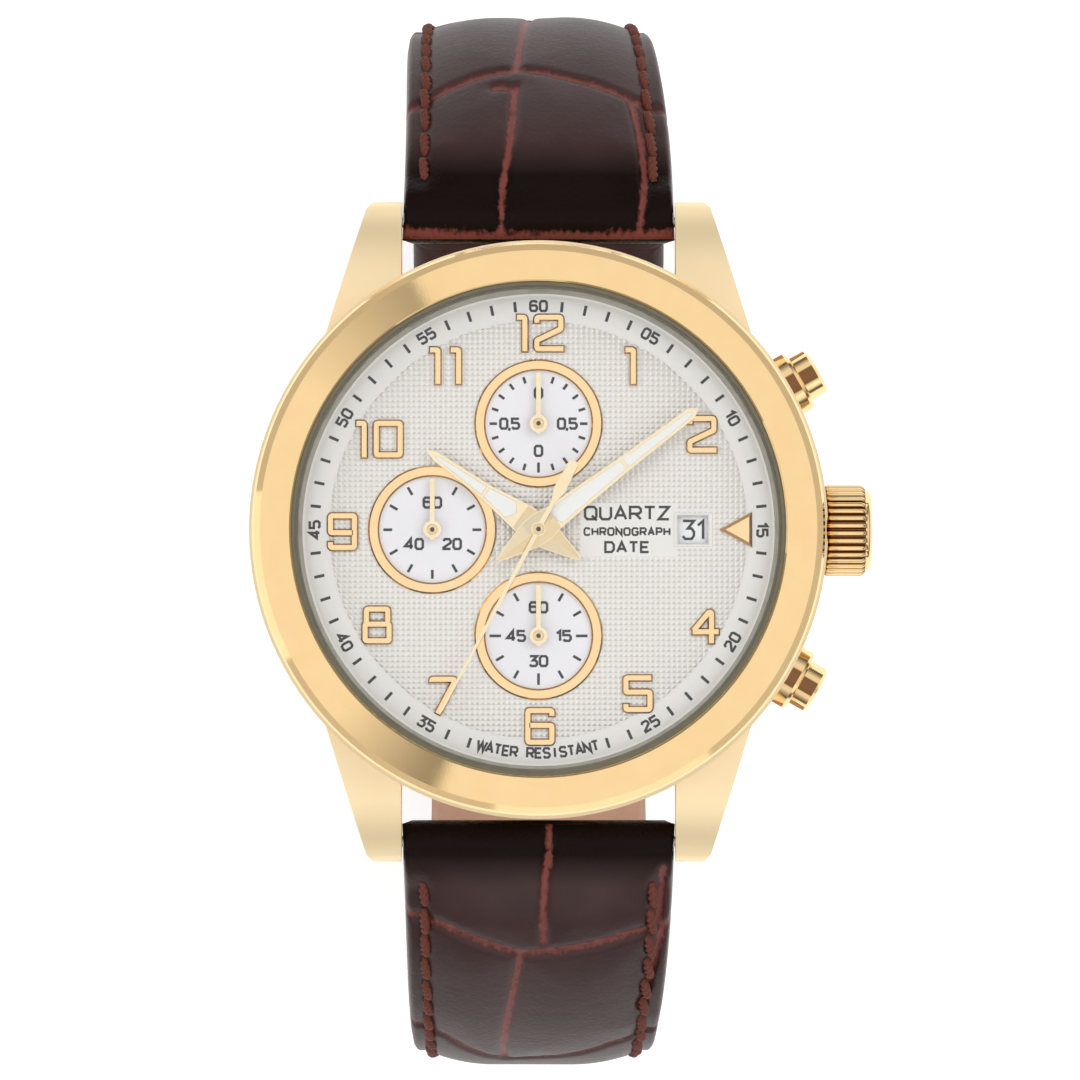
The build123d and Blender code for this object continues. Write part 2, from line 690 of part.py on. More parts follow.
def third_wheel():
    """Pinion in mesh with the centre wheel, wheel in mesh with the small seconds pinion."""
    pinion_turn = THIRD_TO_CENTRE_ANGLE + 180 / THIRD_PINION_TEETH
    pinion_z = CENTRE_WHEEL_Z - 0.05
    pinion = gear(THIRD_PINION_TEETH, MODULE_SECONDS, pinion_z, WHEEL_T + 0.1, 0.1, turn=pinion_turn)
    wheel = gear(THIRD_TEETH, MODULE_SECONDS, THIRD_WHEEL_Z, WHEEL_T, 0.1, turn=THIRD_TO_SECONDS_ANGLE)
    return Pos(THIRD_X, THIRD_Y, 0) * (pinion + wheel + rod(0.2, BRIDGE_Z + 0.2, PLATE_Z + 0.2))


def small_seconds_wheel():
    turn = THIRD_TO_SECONDS_ANGLE + 180 + 180 / SECONDS_PINION_TEETH
    pinion = gear(SECONDS_PINION_TEETH, MODULE_SECONDS, SMALL_WHEEL_Z - 0.05, WHEEL_T + 0.1, 0.1, turn=turn)
    arbor = rod(SMALL_ARBOR_R, BRIDGE_Z + 0.2, SMALL_HAND_Z + SMALL_HAND_T - FIT)
    return Pos(0, -SUBDIAL_OFFSET, 0) * (pinion + arbor)


def counter_wheel(name):
    """The wheel and arbor under the chronograph minute or tenths hand."""
    x, y = SUBDIAL_CENTRES[name]
    wheel = gear(30, 2 * COUNTER_WHEEL_R / 30, SMALL_WHEEL_Z, WHEEL_T, 0.1)
    arbor = rod(SMALL_ARBOR_R, BRIDGE_Z + 0.2, SMALL_HAND_Z + SMALL_HAND_T - FIT)
    return Pos(x, y, 0) * (wheel + arbor)


ARBORS = [(0, 0, CANNON_R), (THIRD_X, THIRD_Y, 0.2)]
ARBORS += [(x, y, SMALL_ARBOR_R) for x, y in SUBDIAL_CENTRES.values()]


def date_ring():
    pitch = 360 / DATE_DAYS
    root = DATE_RING_R_IN + 0.4
    teeth = []
    for k in range(DATE_DAYS):
        for share, radius in ((-0.5, root), (-0.15, root), (0, DATE_RING_R_IN), (0.3, root)):
            a = math.radians((k + share) * pitch)
            teeth.append((radius * math.cos(a), radius * math.sin(a)))
    low = PLATE_TOP_Z + RUN
    return rod(DATE_RING_R, low, low + DATE_RING_T) - flat(teeth, 0, 20)


# ---- Movement plates and electrics --------------------------------------------------------------
def movement_holder():
    holder = tube(BORE_R - 0.1, MOVEMENT_R + 0.1, HOLDER_Z, DIAL_Z)
    holder -= radial(0) * rod(STEM_R + 0.25, 0, 30)
    for angle in PUSHER_ANGLES.values():
        holder -= radial(angle) * rod(COLLAR_NECK_R, 0, 30)
    return holder


def main_plate():
    plate = rod(MOVEMENT_R, PLATE_Z, PLATE_TOP_Z)
    plate += tube(MOVEMENT_R, MOVEMENT_R - PLATE_RIM_W, BRIDGE_Z + BRIDGE_T, PLATE_Z)
    for angle in POST_ANGLES:
        post = rod(POST_R, BRIDGE_Z + BRIDGE_T, PLATE_Z) - rod(SCREW_SHANK_R + FIT, 0, PLATE_Z - 0.3)
        plate += at_polar(POST_RADIUS, angle) * post
    for x, y, radius in ARBORS:
        plate -= Pos(x, y, 0) * rod(radius + RUN, 0, 20)
    plate -= rod(MODULE_MOTION * (CANNON_TEETH / 2 + 1) + 0.2, MOTION_Z - 0.1, 20)
    motion_pocket_r = MODULE_MOTION * (MINUTE_WHEEL_TEETH / 2 + 1) + 0.2
    plate -= Pos(MOTION_X, MOTION_Y, 0) * rod(motion_pocket_r, MOTION_Z - 0.1, 20)
    plate -= Pos(MOTION_X, MOTION_Y, 0) * rod(0.15 + RUN, 0, 20)
    plate -= radial(0) * rod(STEM_R + RUN, STEM_START_X, 30)
    pocket_end = PINION_X + PINION_LENGTH + CROWN_PULL + 0.2
    plate -= radial(0) * rod(PINION_R + 0.15, PINION_X - 0.2, pocket_end)
    plate -= Pos(BATTERY_XY, -BATTERY_XY, 0) * rod(BATTERY_R + 0.1, 0, BATTERY_Z + BATTERY_T + 0.1)
    return plate


def train_bridge():
    bridge = rod(MOVEMENT_R - 0.1, BRIDGE_Z, BRIDGE_Z + BRIDGE_T)
    bridge -= Pos(BATTERY_XY, -BATTERY_XY, 0) * rod(BATTERY_R + 0.2, 0, 20)
    bridge = bridge.solids().sort_by(SortBy.VOLUME)[-1]
    bridge -= rod(SWEEP_ARBOR_R + RUN, 0, 20)
    for x, y, radius in ARBORS[1:]:
        bridge -= Pos(x, y, 0) * rod(radius + RUN, 0, 20)
    for angle in POST_ANGLES:
        bridge -= at_polar(POST_RADIUS, angle) * rod(SCREW_SHANK_R + RUN, 0, 20)
    return bridge


def circuit_board():
    board = rod(MOVEMENT_R - 0.5, BOARD_Z, BOARD_Z + BOARD_T)
    board -= Pos(BATTERY_XY, -BATTERY_XY, 0) * rod(BATTERY_R + 0.3, 0, 20)
    board = board.solids().sort_by(SortBy.VOLUME)[-1]
    for angle in POST_ANGLES:
        board -= at_polar(POST_RADIUS, angle) * rod(SCREW_HEAD_R + 0.15, 0, 20)
    return board


def bridge_screws():
    head_z = BRIDGE_Z - SCREW_HEAD_H - FIT
    one = slotted_screw(SCREW_HEAD_R, SCREW_SHANK_R, head_z, SCREW_HEAD_H, PLATE_Z - 0.5)
    return Compound([at_polar(POST_RADIUS, a) * one for a in POST_ANGLES])


def battery():
    can = rod(BATTERY_R, BATTERY_Z + 0.3, BATTERY_Z + BATTERY_T) + rod(BATTERY_R - 0.5, BATTERY_Z, BATTERY_Z + 0.3)
    return Pos(BATTERY_XY, -BATTERY_XY, 0) * can


def battery_clamp():
    """The contact strip that presses the cell: a bar between two feet."""
    low = BOARD_Z - 0.1
    bar = block((-BATTERY_R - 1.2, BATTERY_R + 1.2), (-0.8, 0.8), (low - 0.2, low))
    tongue = block((-2.2, 2.2), (-0.5, 0.5), (low, BATTERY_Z))
    return Pos(BATTERY_XY, -BATTERY_XY, 0) * Rot(0, 0, 45) * (bar + tongue)


def motor_coils():
    """Three wound coils on their cores, one to each stepping motor."""
    half = COIL_LENGTH / 2
    low, high = BRIDGE_Z + BRIDGE_T + 0.1, BRIDGE_Z + BRIDGE_T + 0.1 + COIL_W
    middle = (low + high) / 2
    coil = Plane.YZ * Pos(0, middle, 0) * rod(COIL_W / 2, 0.8 - half, half - 0.8)
    for side in (-1, 1):
        x0, x1 = sorted((side * half, side * (half - 0.8)))
        coil += block((x0, x1), (-COIL_W / 2, COIL_W / 2), (low, high))
    return Compound([Rot(0, 0, a - 90) * Pos(0, COIL_RADIUS, 0) * coil for a in (45, 135, 225)])


def motor_stators():
    """The flat magnetic plates that close each coil's circuit round its rotor hole."""
    half = COIL_LENGTH / 2
    z = (BRIDGE_Z + BRIDGE_T + COIL_W + 0.15, BRIDGE_Z + BRIDGE_T + COIL_W + 0.3)
    plate = block((-half, half), (-0.8, 0.8), z)
    plate -= rod(0.5, 0, 20)
    return Compound([Rot(0, 0, a - 90) * Pos(0, COIL_RADIUS, 0) * plate for a in (45, 135, 225)])


# ---- Crown --------------------------------------------------------------------------------------
def crown():
    end = CROWN_X + CROWN_LENGTH
    body = turned(
        (0, CROWN_X),
        (CROWN_R - 0.25, CROWN_X),
        (CROWN_R, CROWN_X + 0.25),
        (CROWN_R, end - 0.2),
        (CROWN_R - 0.2, end),
        (CROWN_CAP_R, end),
        (CROWN_CAP_R - 0.2, end + 0.7 * CROWN_CAP_H),
        (CROWN_CAP_R / 2, end + 0.95 * CROWN_CAP_H),
        (0, end + CROWN_CAP_H),
    )
    pitch = 2 * math.pi / CROWN_FLUTES
    outer = CROWN_R + 1
    floor = CROWN_R - CROWN_FLUTE_DEPTH
    rim = []
    for k in range(CROWN_FLUTES):
        for share, radius in ((-0.3, outer), (0.3, outer), (0.36, floor), (0.64, floor)):
            a = (k + share) * pitch
            rim.append((radius * math.cos(a), radius * math.sin(a)))
    body &= flat(rim, CROWN_X - 1, CROWN_LENGTH + 3)
    body -= rod(CROWN_POCKET_R, CROWN_X - 1, end - CROWN_WALL)
    body -= rod(STEM_R + FIT, CROWN_X - 1, end)
    return radial(0) * body


def crown_gasket():
    return radial(0) * tube(CROWN_POCKET_R - RUN, CROWN_TUBE_R + RUN, CROWN_X + 0.3, CROWN_X + 0.8)


def crown_tube():
    pipe = tube(CROWN_TUBE_R, STEM_R + 0.1, BORE_R + 0.05, CROWN_X + CROWN_LENGTH - CROWN_WALL - 0.1)
    return radial(0) * pipe


def stem():
    return radial(0) * rod(STEM_R, STEM_START_X, CROWN_X + CROWN_LENGTH - FIT)


def sliding_pinion():
    teeth = gear(14, 2 * PINION_R / 16, PINION_X, PINION_LENGTH, STEM_R + FIT)
    return radial(0) * teeth


# ---- Pushers ------------------------------------------------------------------------------------
def pusher_collar(name):
    collar = turned(
        (PUSHER_STEM_R + RUN, BORE_R + 0.05),
        (COLLAR_NECK_R, BORE_R + 0.05),
        (COLLAR_NECK_R, COLLAR_SEAT),
        (COLLAR_R, COLLAR_SEAT),
        (COLLAR_R, COLLAR_END - 0.3),
        (COLLAR_R - 0.09, COLLAR_END - 0.09),
        (COLLAR_R - 0.3, COLLAR_END),
        (CAP_R + RUN, COLLAR_END),
        (CAP_R + RUN, COLLAR_FLOOR),
        (PUSHER_STEM_R + RUN, COLLAR_FLOOR),
    )
    return radial(PUSHER_ANGLES[name]) * collar


def pusher(name):
    cap = turned(
        (PUSHER_STEM_R, PUSHER_STEM_START),
        (0, PUSHER_STEM_START),
        (0, CAP_OUTER_END),
        (CAP_R * 0.6, CAP_OUTER_END - 0.06),
        (CAP_R - 0.2, CAP_OUTER_END - 0.17),
        (CAP_R, CAP_OUTER_END - 0.37),
        (CAP_R, CAP_INNER_END),
        (CAP_POCKET_R, CAP_INNER_END),
        (CAP_POCKET_R, CAP_POCKET_END),
        (PUSHER_STEM_R, CAP_POCKET_END),
    )
    return radial(PUSHER_ANGLES[name]) * cap


def pusher_spring(name):
    """A helical spring between the collar's floor and the pocket inside the cap."""
    clear = SPRING_WIRE_R + RUN
    height = CAP_POCKET_END - COLLAR_FLOOR - 2 * clear
    path = Helix(height / SPRING_TURNS, height, SPRING_R)
    section = Plane(origin=path @ 0, z_dir=path % 0) * Circle(SPRING_WIRE_R)
    wire = sweep(section, path=path)
    return radial(PUSHER_ANGLES[name]) * Pos(0, 0, COLLAR_FLOOR + clear) * wire


def pusher_clip(name):
    """The ring that keeps the pusher from leaving its collar."""
    return radial(PUSHER_ANGLES[name]) * tube(CLIP_R, PUSHER_STEM_R + FIT, CLIP_START, CLIP_START + CLIP_T)


# ---- Strap --------------------------------------------------------------------------------------
# The buckled strap follows an oval in the YZ plane. A level is the distance out from its wrist face,
# and theta runs from 0 on the 12 o'clock side to 180 on the 6 o'clock side.
def oval(theta, level):
    t = math.radians(theta)
    return ((STRAP_A + level) * math.cos(t), STRAP_CENTRE_Z + (STRAP_B + level) * math.sin(t))


def ease(value, start, end):
    """A smooth rise from 0 at start to 1 at end."""
    share = min(1.0, max(0.0, (value - start) / (end - start)))
    return share * share * (3 - 2 * share)


def band(start, end, inner, outer, step=4.0):
    """The face between two levels of the oval, each a function of theta."""
    count = max(3, round(abs(end - start) / step))
    thetas = [start + (end - start) * k / count for k in range(count + 1)]
    low = [oval(t, inner(t)) for t in thetas]
    high = [oval(t, outer(t)) for t in thetas]
    edges = [Spline(*low), Line(low[-1], high[-1]), Spline(*reversed(high)), Line(high[0], low[0])]
    return make_face(Plane.YZ * Curve(edges))


def spread(face, x0, x1):
    """A YZ face drawn out between two values of x."""
    return extrude(Pos(x0, 0, 0) * face, x1 - x0, dir=(1, 0, 0))


def strap_width(z):
    return STRAP_LUG_W - STRAP_TAPER * (LUG_BAR_Z - z)


def tapered(face, extra=0.0):
    """A YZ face drawn out to the strap's width, which narrows towards the buckle."""
    top, bottom = 10.0, -70.0
    half_top, half_bottom = strap_width(top) / 2 + extra, strap_width(bottom) / 2 + extra
    corners = Polyline(
        (-half_top, top), (half_top, top), (half_bottom, bottom), (-half_bottom, bottom), close=True
    )
    wedge = extrude(make_face(Plane.XZ * corners), STRAP_A + 20, both=True)
    return spread(face, -half_top, half_top) & wedge


def cross_rod(y, z, radius, half_length):
    """A cylinder along X through a point of the YZ plane."""
    return Plane.YZ * Pos(y, z, 0) * rod(radius, -half_length, half_length)


LUG_LOOP_THETA = math.degrees((LUG_LOOP_R + 0.15) / (STRAP_A + LUG_BAR_LEVEL))
BUCKLE_BAR_Y, BUCKLE_BAR_Z = oval(BUCKLE_BAR_THETA, BUCKLE_BAR_LEVEL)
BUCKLE_LOOP_THETA = math.degrees((BUCKLE_LOOP_R + 0.15) / STRAP_A)


def upper_level(theta):
    """The outer face of the 12 o'clock half: full at the padding, thin under the tail."""
    swell = ease(theta, LUG_THETA, LUG_THETA - 10)
    return LUG_END_T + (PAD_T - LUG_END_T) * swell - (PAD_T - THIN_T) * ease(theta, 16, -27)


def tail_rise(theta):
    """How far the 6 o'clock half stands off the wrist face, past the buckle's crossbar."""
    return (THIN_T + TAIL_GAP + 0.3) * ease(theta, 266, 281)


def tail_thickness(theta):
    swell = ease(theta, 180 - LUG_THETA, 190 - LUG_THETA)
    full = LUG_END_T + (PAD_T - LUG_END_T) * swell
    return full - (PAD_T - TAIL_T) * ease(theta, 164, 215)


def lining_split(theta):
    return tail_rise(theta) + LINING_T - (LINING_T - TAIL_LINING_T) * ease(theta, 164, 215)


def prong_slot():
    """The opening at the buckle end of the 12 o'clock half where the prong turns."""
    half = PRONG_SLOT_W / 2
    y, z = BUCKLE_BAR_Y, BUCKLE_BAR_Z
    return block((-half, half), (y - 4, y + 3), (z - 3, z + 3))


def strap_12_leather():
    end = BUCKLE_BAR_THETA
    face = band(LUG_THETA, end, lambda t: LINING_T, upper_level)
    strap = tapered(face)
    strap += tapered(Plane.YZ * Pos(LUG_BAR_Y, LUG_BAR_Z, 0) * Circle(LUG_LOOP_R))
    strap += tapered(Plane.YZ * Pos(BUCKLE_BAR_Y, BUCKLE_BAR_Z, 0) * Circle(BUCKLE_LOOP_R))
    strap -= cross_rod(LUG_BAR_Y, LUG_BAR_Z, BAR_R + RUN, 20)
    strap -= cross_rod(BUCKLE_BAR_Y, BUCKLE_BAR_Z, BAR_R + RUN, 20)
    return strap - prong_slot()


def strap_12_lining():
    start = LUG_THETA - LUG_LOOP_THETA
    end = BUCKLE_BAR_THETA + BUCKLE_LOOP_THETA
    return tapered(band(start, end, lambda t: 0.0, lambda t: LINING_T)) - prong_slot()


def strap_holes(strap):
    """The buckle holes, the one in use drawn out by the prong."""
    for theta in HOLE_THETAS:
        y, z = oval(theta, 0)
        t = math.radians(theta)
        outward = (0, math.cos(t) / STRAP_A, math.sin(t) / STRAP_B)
        out = Plane(origin=(0, y, z), x_dir=(1, 0, 0), z_dir=outward)
        strap -= out * rod(HOLE_R, 0, 12)
    slot = band(266.5, 281.5, lambda t: -2.0, lambda t: 12.0)
    return strap - spread(slot, -PRONG_SLOT_W / 2, PRONG_SLOT_W / 2)


def strap_6_leather():
    start, end = 180 - LUG_THETA, 360 + TAIL_END_THETA
    face = band(start, end, lining_split, lambda t: tail_rise(t) + tail_thickness(t))
    strap = tapered(face)
    strap += tapered(Plane.YZ * Pos(-LUG_BAR_Y, LUG_BAR_Z, 0) * Circle(LUG_LOOP_R))
    strap -= cross_rod(-LUG_BAR_Y, LUG_BAR_Z, BAR_R + RUN, 20)
    return strap_holes(strap)


def strap_6_lining():
    start, end = 180 - LUG_THETA + LUG_LOOP_THETA, 360 + TAIL_END_THETA
    return strap_holes(tapered(band(start, end, tail_rise, lining_split)))


def keeper(theta):
    """A flat leather loop round both layers of the strap."""
    half = math.degrees(KEEPER_HALF / STRAP_A)
    low = -KEEPER_GAP
    high = THIN_T + TAIL_GAP + 0.3 + TAIL_T + KEEPER_GAP
    outside = band(theta - half, theta + half, lambda t: low - KEEPER_T, lambda t: high + KEEPER_T)
    inside = band(theta - 2 * half, theta + 2 * half, lambda t: low, lambda t: high)
    return tapered(outside, KEEPER_GAP + KEEPER_T) - tapered(inside, KEEPER_GAP)


def fixed_keeper():
    return keeper(FIXED_KEEPER_THETA)


def free_keeper():
    return keeper(FREE_KEEPER_THETA)


# ---- Bars and buckle ----------------------------------------------------------------------------
def spring_bar(y, z, half_length):
    bar = cross_rod(y, z, BAR_R, half_length)
    return bar + cross_rod(y, z, BAR_TIP_R, half_length + BAR_TIP_LENGTH)


def lug_spring_bars():
    half = LUG_GAP / 2 - 0.15
    return Compound([spring_bar(side * LUG_BAR_Y, LUG_BAR_Z, half) for side in (1, -1)])


BUCKLE_INNER_X = strap_width(BUCKLE_BAR_Z) / 2 + BUCKLE_SIDE_GAP
CROSSBAR_LEVEL = TAIL_T + 0.25 + CROSSBAR_R
CROSSBAR_Y, CROSSBAR_Z = oval(CROSSBAR_THETA, CROSSBAR_LEVEL)


def buckle_spring_bar():
    return spring_bar(BUCKLE_BAR_Y, BUCKLE_BAR_Z, BUCKLE_INNER_X - 0.1)


def buckle_level(theta):
    share = (theta - BUCKLE_BAR_THETA) / (CROSSBAR_THETA - BUCKLE_BAR_THETA)
    return BUCKLE_BAR_LEVEL + (CROSSBAR_LEVEL - BUCKLE_BAR_LEVEL) * share


def buckle_frame():
    """Two side arms and the crossbar that the prong's tip rests on."""
    half = BUCKLE_ARM_T / 2
    face = band(
        BUCKLE_BAR_THETA, CROSSBAR_THETA, lambda t: buckle_level(t) - half, lambda t: buckle_level(t) + half
    )
    outer_x = BUCKLE_INNER_X + BUCKLE_ARM_W
    frame = cross_rod(CROSSBAR_Y, CROSSBAR_Z, CROSSBAR_R, outer_x)
    for side in (1, -1):
        x0, x1 = sorted((side * BUCKLE_INNER_X, side * outer_x))
        frame += spread(face, x0, x1)
        eye = spread(Plane.YZ * Pos(BUCKLE_BAR_Y, BUCKLE_BAR_Z, 0) * Circle(half + 0.3), x0, x1)
        frame += eye
    return frame - cross_rod(BUCKLE_BAR_Y, BUCKLE_BAR_Z, BAR_TIP_R + RUN, BUCKLE_INNER_X + BAR_TIP_LENGTH)


def buckle_prong():
    """The tongue: an eye round the bar and an arm that reaches over the crossbar."""
    run_y, run_z = CROSSBAR_Y - BUCKLE_BAR_Y, CROSSBAR_Z - BUCKLE_BAR_Z
    reach = math.hypot(run_y, run_z)
    lift = math.degrees(math.asin((CROSSBAR_R + PRONG_T / 2 + RUN) / reach))
    turn = math.degrees(math.atan2(run_z, run_y)) + lift
    slot = SlotCenterToCenter(reach + PRONG_OVERHANG, PRONG_T)
    arm = Rot(0, 0, turn) * Pos(reach / 2 + PRONG_OVERHANG / 2, 0) * slot
    hinge = Pos(BUCKLE_BAR_Y, BUCKLE_BAR_Z)
    half = PRONG_W / 2
    prong = spread(Plane.YZ * (hinge * arm), -half, half)
    prong += spread(Plane.YZ * (hinge * Circle(PRONG_EYE_R)), -half, half)
    return prong - cross_rod(BUCKLE_BAR_Y, BUCKLE_BAR_Z, BAR_R + RUN, 5)


# ---- Every piece, by the name of its file -------------------------------------------------------
PIECES = {
    "case_middle": case_middle,
    "bezel": bezel,
    "crystal": crystal,
    "crystal_gasket": crystal_gasket,
    "flange_ring": flange_ring,
    "case_back": case_back,
    "case_back_gasket": case_back_gasket,
    "case_back_screws": case_back_screws,
    "dial": dial,
    "hour_markers": hour_markers,
    "subdial_rings": subdial_rings,
    "hour_hand": hour_hand,
    "hour_hand_lume": hour_hand_lume,
    "minute_hand": minute_hand,
    "minute_hand_lume": minute_hand_lume,
    "chrono_seconds_hand": chrono_seconds_hand,
    "chrono_seconds_wheel": chrono_seconds_wheel,
    "cannon_pinion": cannon_pinion,
    "hour_wheel": hour_wheel,
    "minute_wheel": minute_wheel,
    "third_wheel": third_wheel,
    "small_seconds_wheel": small_seconds_wheel,
    "date_ring": date_ring,
    "movement_holder": movement_holder,
    "main_plate": main_plate,
    "train_bridge": train_bridge,
    "circuit_board": circuit_board,
    "bridge_screws": bridge_screws,
    "battery": battery,
    "battery_clamp": battery_clamp,
    "motor_coils": motor_coils,
    "motor_stators": motor_stators,
    "crown": crown,
    "crown_gasket": crown_gasket,
    "crown_tube": crown_tube,
    "stem": stem,
    "sliding_pinion": sliding_pinion,
    "strap_12_leather": strap_12_leather,
    "strap_12_lining": strap_12_lining,
    "strap_6_leather": strap_6_leather,
    "strap_6_lining": strap_6_lining,
    "fixed_keeper": fixed_keeper,
    "free_keeper": free_keeper,
    "lug_spring_bars": lug_spring_bars,
    "buckle_spring_bar": buckle_spring_bar,
    "buckle_frame": buckle_frame,
    "buckle_prong": buckle_prong,
}

for node, make in PIECES.items():
    export_step(make(), f"parts/{node}.step")

for name in SUBDIAL_CENTRES:
    export_step(small_hand(name), f"parts/{name}_hand.step")

for name in ("tenths", "chrono_minutes"):
    export_step(counter_wheel(name), f"parts/{name}_wheel.step")

for name in PUSHER_ANGLES:
    export_step(pusher_collar(name), f"parts/{name}_pusher_collar.step")
    export_step(pusher(name), f"parts/{name}_pusher.step")
    export_step(pusher_spring(name), f"parts/{name}_pusher_spring.step")
    export_step(pusher_clip(name), f"parts/{name}_pusher_clip.step")
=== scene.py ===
"""A gold chronograph wristwatch on a dark-brown leather strap, dressed over its CAD frame."""

import math
import random

import bmesh
import bpy
import numpy as np
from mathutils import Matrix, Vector


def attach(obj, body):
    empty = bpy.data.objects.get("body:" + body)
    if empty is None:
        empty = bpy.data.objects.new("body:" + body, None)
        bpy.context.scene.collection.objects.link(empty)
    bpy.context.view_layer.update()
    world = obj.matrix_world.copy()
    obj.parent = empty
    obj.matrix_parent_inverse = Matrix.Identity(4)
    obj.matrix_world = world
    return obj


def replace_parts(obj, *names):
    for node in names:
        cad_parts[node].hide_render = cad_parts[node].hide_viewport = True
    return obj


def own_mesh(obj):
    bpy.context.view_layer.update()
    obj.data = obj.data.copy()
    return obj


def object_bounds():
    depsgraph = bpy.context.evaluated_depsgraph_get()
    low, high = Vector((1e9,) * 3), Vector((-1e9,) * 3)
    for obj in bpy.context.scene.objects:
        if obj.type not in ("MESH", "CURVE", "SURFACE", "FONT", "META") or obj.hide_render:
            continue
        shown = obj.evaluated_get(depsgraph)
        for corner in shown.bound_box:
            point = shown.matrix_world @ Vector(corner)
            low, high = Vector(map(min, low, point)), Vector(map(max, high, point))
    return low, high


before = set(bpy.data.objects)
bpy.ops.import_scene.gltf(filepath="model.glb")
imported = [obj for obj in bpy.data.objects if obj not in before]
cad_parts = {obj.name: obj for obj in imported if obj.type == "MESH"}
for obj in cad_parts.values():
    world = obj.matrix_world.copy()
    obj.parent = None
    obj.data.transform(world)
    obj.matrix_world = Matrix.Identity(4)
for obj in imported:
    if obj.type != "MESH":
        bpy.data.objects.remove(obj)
cad_low, cad_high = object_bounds()
scene = bpy.context.scene

# ---- Camera ---------------------------------------------------------------------------------
# A long lens over the dial, leaning a little to the 6 o'clock side so that the crown is at the
# right and 12 o'clock at the top.
MM = 0.001
CAMERA_LEAN = math.radians(1.6)
CAMERA_DISTANCE = 700
CAMERA_LENS = 319
SENSOR_WIDTH = 36
CAMERA_AIM = Vector((0.11, -0.84, 10.6))

camera = bpy.data.objects.new("camera", bpy.data.cameras.new("camera"))
scene.collection.objects.link(camera)
camera.data.sensor_width = SENSOR_WIDTH
camera.data.lens = CAMERA_LENS
toward_camera = Vector((0, -math.sin(CAMERA_LEAN), math.cos(CAMERA_LEAN)))
camera.location = (CAMERA_AIM + toward_camera * CAMERA_DISTANCE) * MM
camera.rotation_euler = (CAMERA_LEAN, 0, 0)
scene.camera = camera
scene.view_settings.view_transform = "Standard"
scene.view_settings.look = "None"

# ---- Studio ---------------------------------------------------------------------------------
# A pale floor under the strap, a bright sky that dims towards the horizon, soft boxes, and two
# dark cards seen only in polished metal, which give the bezel its two darker sectors.
FLOOR_COLOUR = (0.86, 0.86, 0.86, 1)
FLOOR_GAP = 0.6
FLOOR_GLOW = 0.45
SKY_STRENGTH = 1.02
CARD_DISTANCE = 300


class Value:
    """A socket that takes part in arithmetic. Each operation adds a Math node."""

    def __init__(self, nodes, socket):
        self.nodes = nodes
        self.socket = socket

    def math(self, operation, first, second):
        return self.nodes.math(operation, first, second)

    def __add__(self, other):
        return self.math("ADD", self, other)

    def __radd__(self, other):
        return self.math("ADD", other, self)

    def __sub__(self, other):
        return self.math("SUBTRACT", self, other)

    def __rsub__(self, other):
        return self.math("SUBTRACT", other, self)

    def __mul__(self, other):
        return self.math("MULTIPLY", self, other)

    def __rmul__(self, other):
        return self.math("MULTIPLY", other, self)

    def __truediv__(self, other):
        return self.math("DIVIDE", self, other)

    def __pow__(self, other):
        return self.math("POWER", self, other)

    def __lt__(self, other):
        return self.math("LESS_THAN", self, other)

    def __gt__(self, other):
        return self.math("GREATER_THAN", self, other)


class Nodes:
    """A node tree. add() makes any node from its type, its settings and its inputs."""

    def __init__(self, tree):
        self.tree = tree

    def math(self, operation, first, second, clamp=False):
        return self.add("Math", {"operation": operation, "use_clamp": clamp}, {0: first, 1: second})

    def add(self, kind, settings=None, inputs=None, output=0):
        node = self.tree.nodes.new("ShaderNode" + kind)
        for key, value in (settings or {}).items():
            if key == "stops":
                self.set_stops(node.color_ramp, value)
            else:
                setattr(node, key, value)
        for key, value in (inputs or {}).items():
            self.feed(node.inputs[key], value)
        return Value(self, node.outputs[output])

    def set_stops(self, ramp, stops):
        while len(ramp.elements) < len(stops):
            ramp.elements.new(1.0)
        for element, (place, colour) in zip(ramp.elements, stops):
            element.position = place
            element.color = colour

    def feed(self, socket, value):
        if isinstance(value, Value):
            self.tree.links.new(value.socket, socket)
        else:
            socket.default_value = value


def grey(level):
    return (level, level, level, 1)


world = bpy.data.worlds.new("studio")
scene.world = world
world.use_nodes = True
sky = Nodes(world.node_tree)
direction = sky.add("TexCoord", output=0)
height = sky.add("SeparateXYZ", inputs={"Vector": direction}, output=2)
dome = sky.add(
    "ValToRGB",
    {"stops": [(0.0, grey(0.5)), (0.1, grey(0.07)), (0.35, grey(0.4)), (0.6, grey(0.92)),
               (0.82, grey(0.9)), (1.0, grey(1.08))]},
    {"Fac": height},
)
backdrop = world.node_tree.nodes["Background"]
sky.feed(backdrop.inputs["Color"], dome)
backdrop.inputs["Strength"].default_value = SKY_STRENGTH


def soft_box(name, place, aim, width, length, power):
    """A rectangular soft light at a point in millimetres, turned to face another."""
    lamp = bpy.data.lights.new(name, "AREA")
    lamp.shape = "RECTANGLE"
    lamp.size = width * MM
    lamp.size_y = length * MM
    lamp.energy = power
    made = bpy.data.objects.new(name, lamp)
    scene.collection.objects.link(made)
    made.location = Vector(place) * MM
    made.rotation_euler = (Vector(place) - Vector(aim)).to_track_quat("Z", "Y").to_euler()
    made.visible_camera = False
    return made


key_box = soft_box("key_box", (330, 260, 520), (0, 0, 0), 380, 380, 0.8)
key_box.visible_glossy = False
soft_box("left_box", (-420, -60, 330), (0, 0, 0), 300, 420, 0.22)
soft_box("low_box", (120, -460, 300), (0, 0, 0), 420, 260, 0.16)


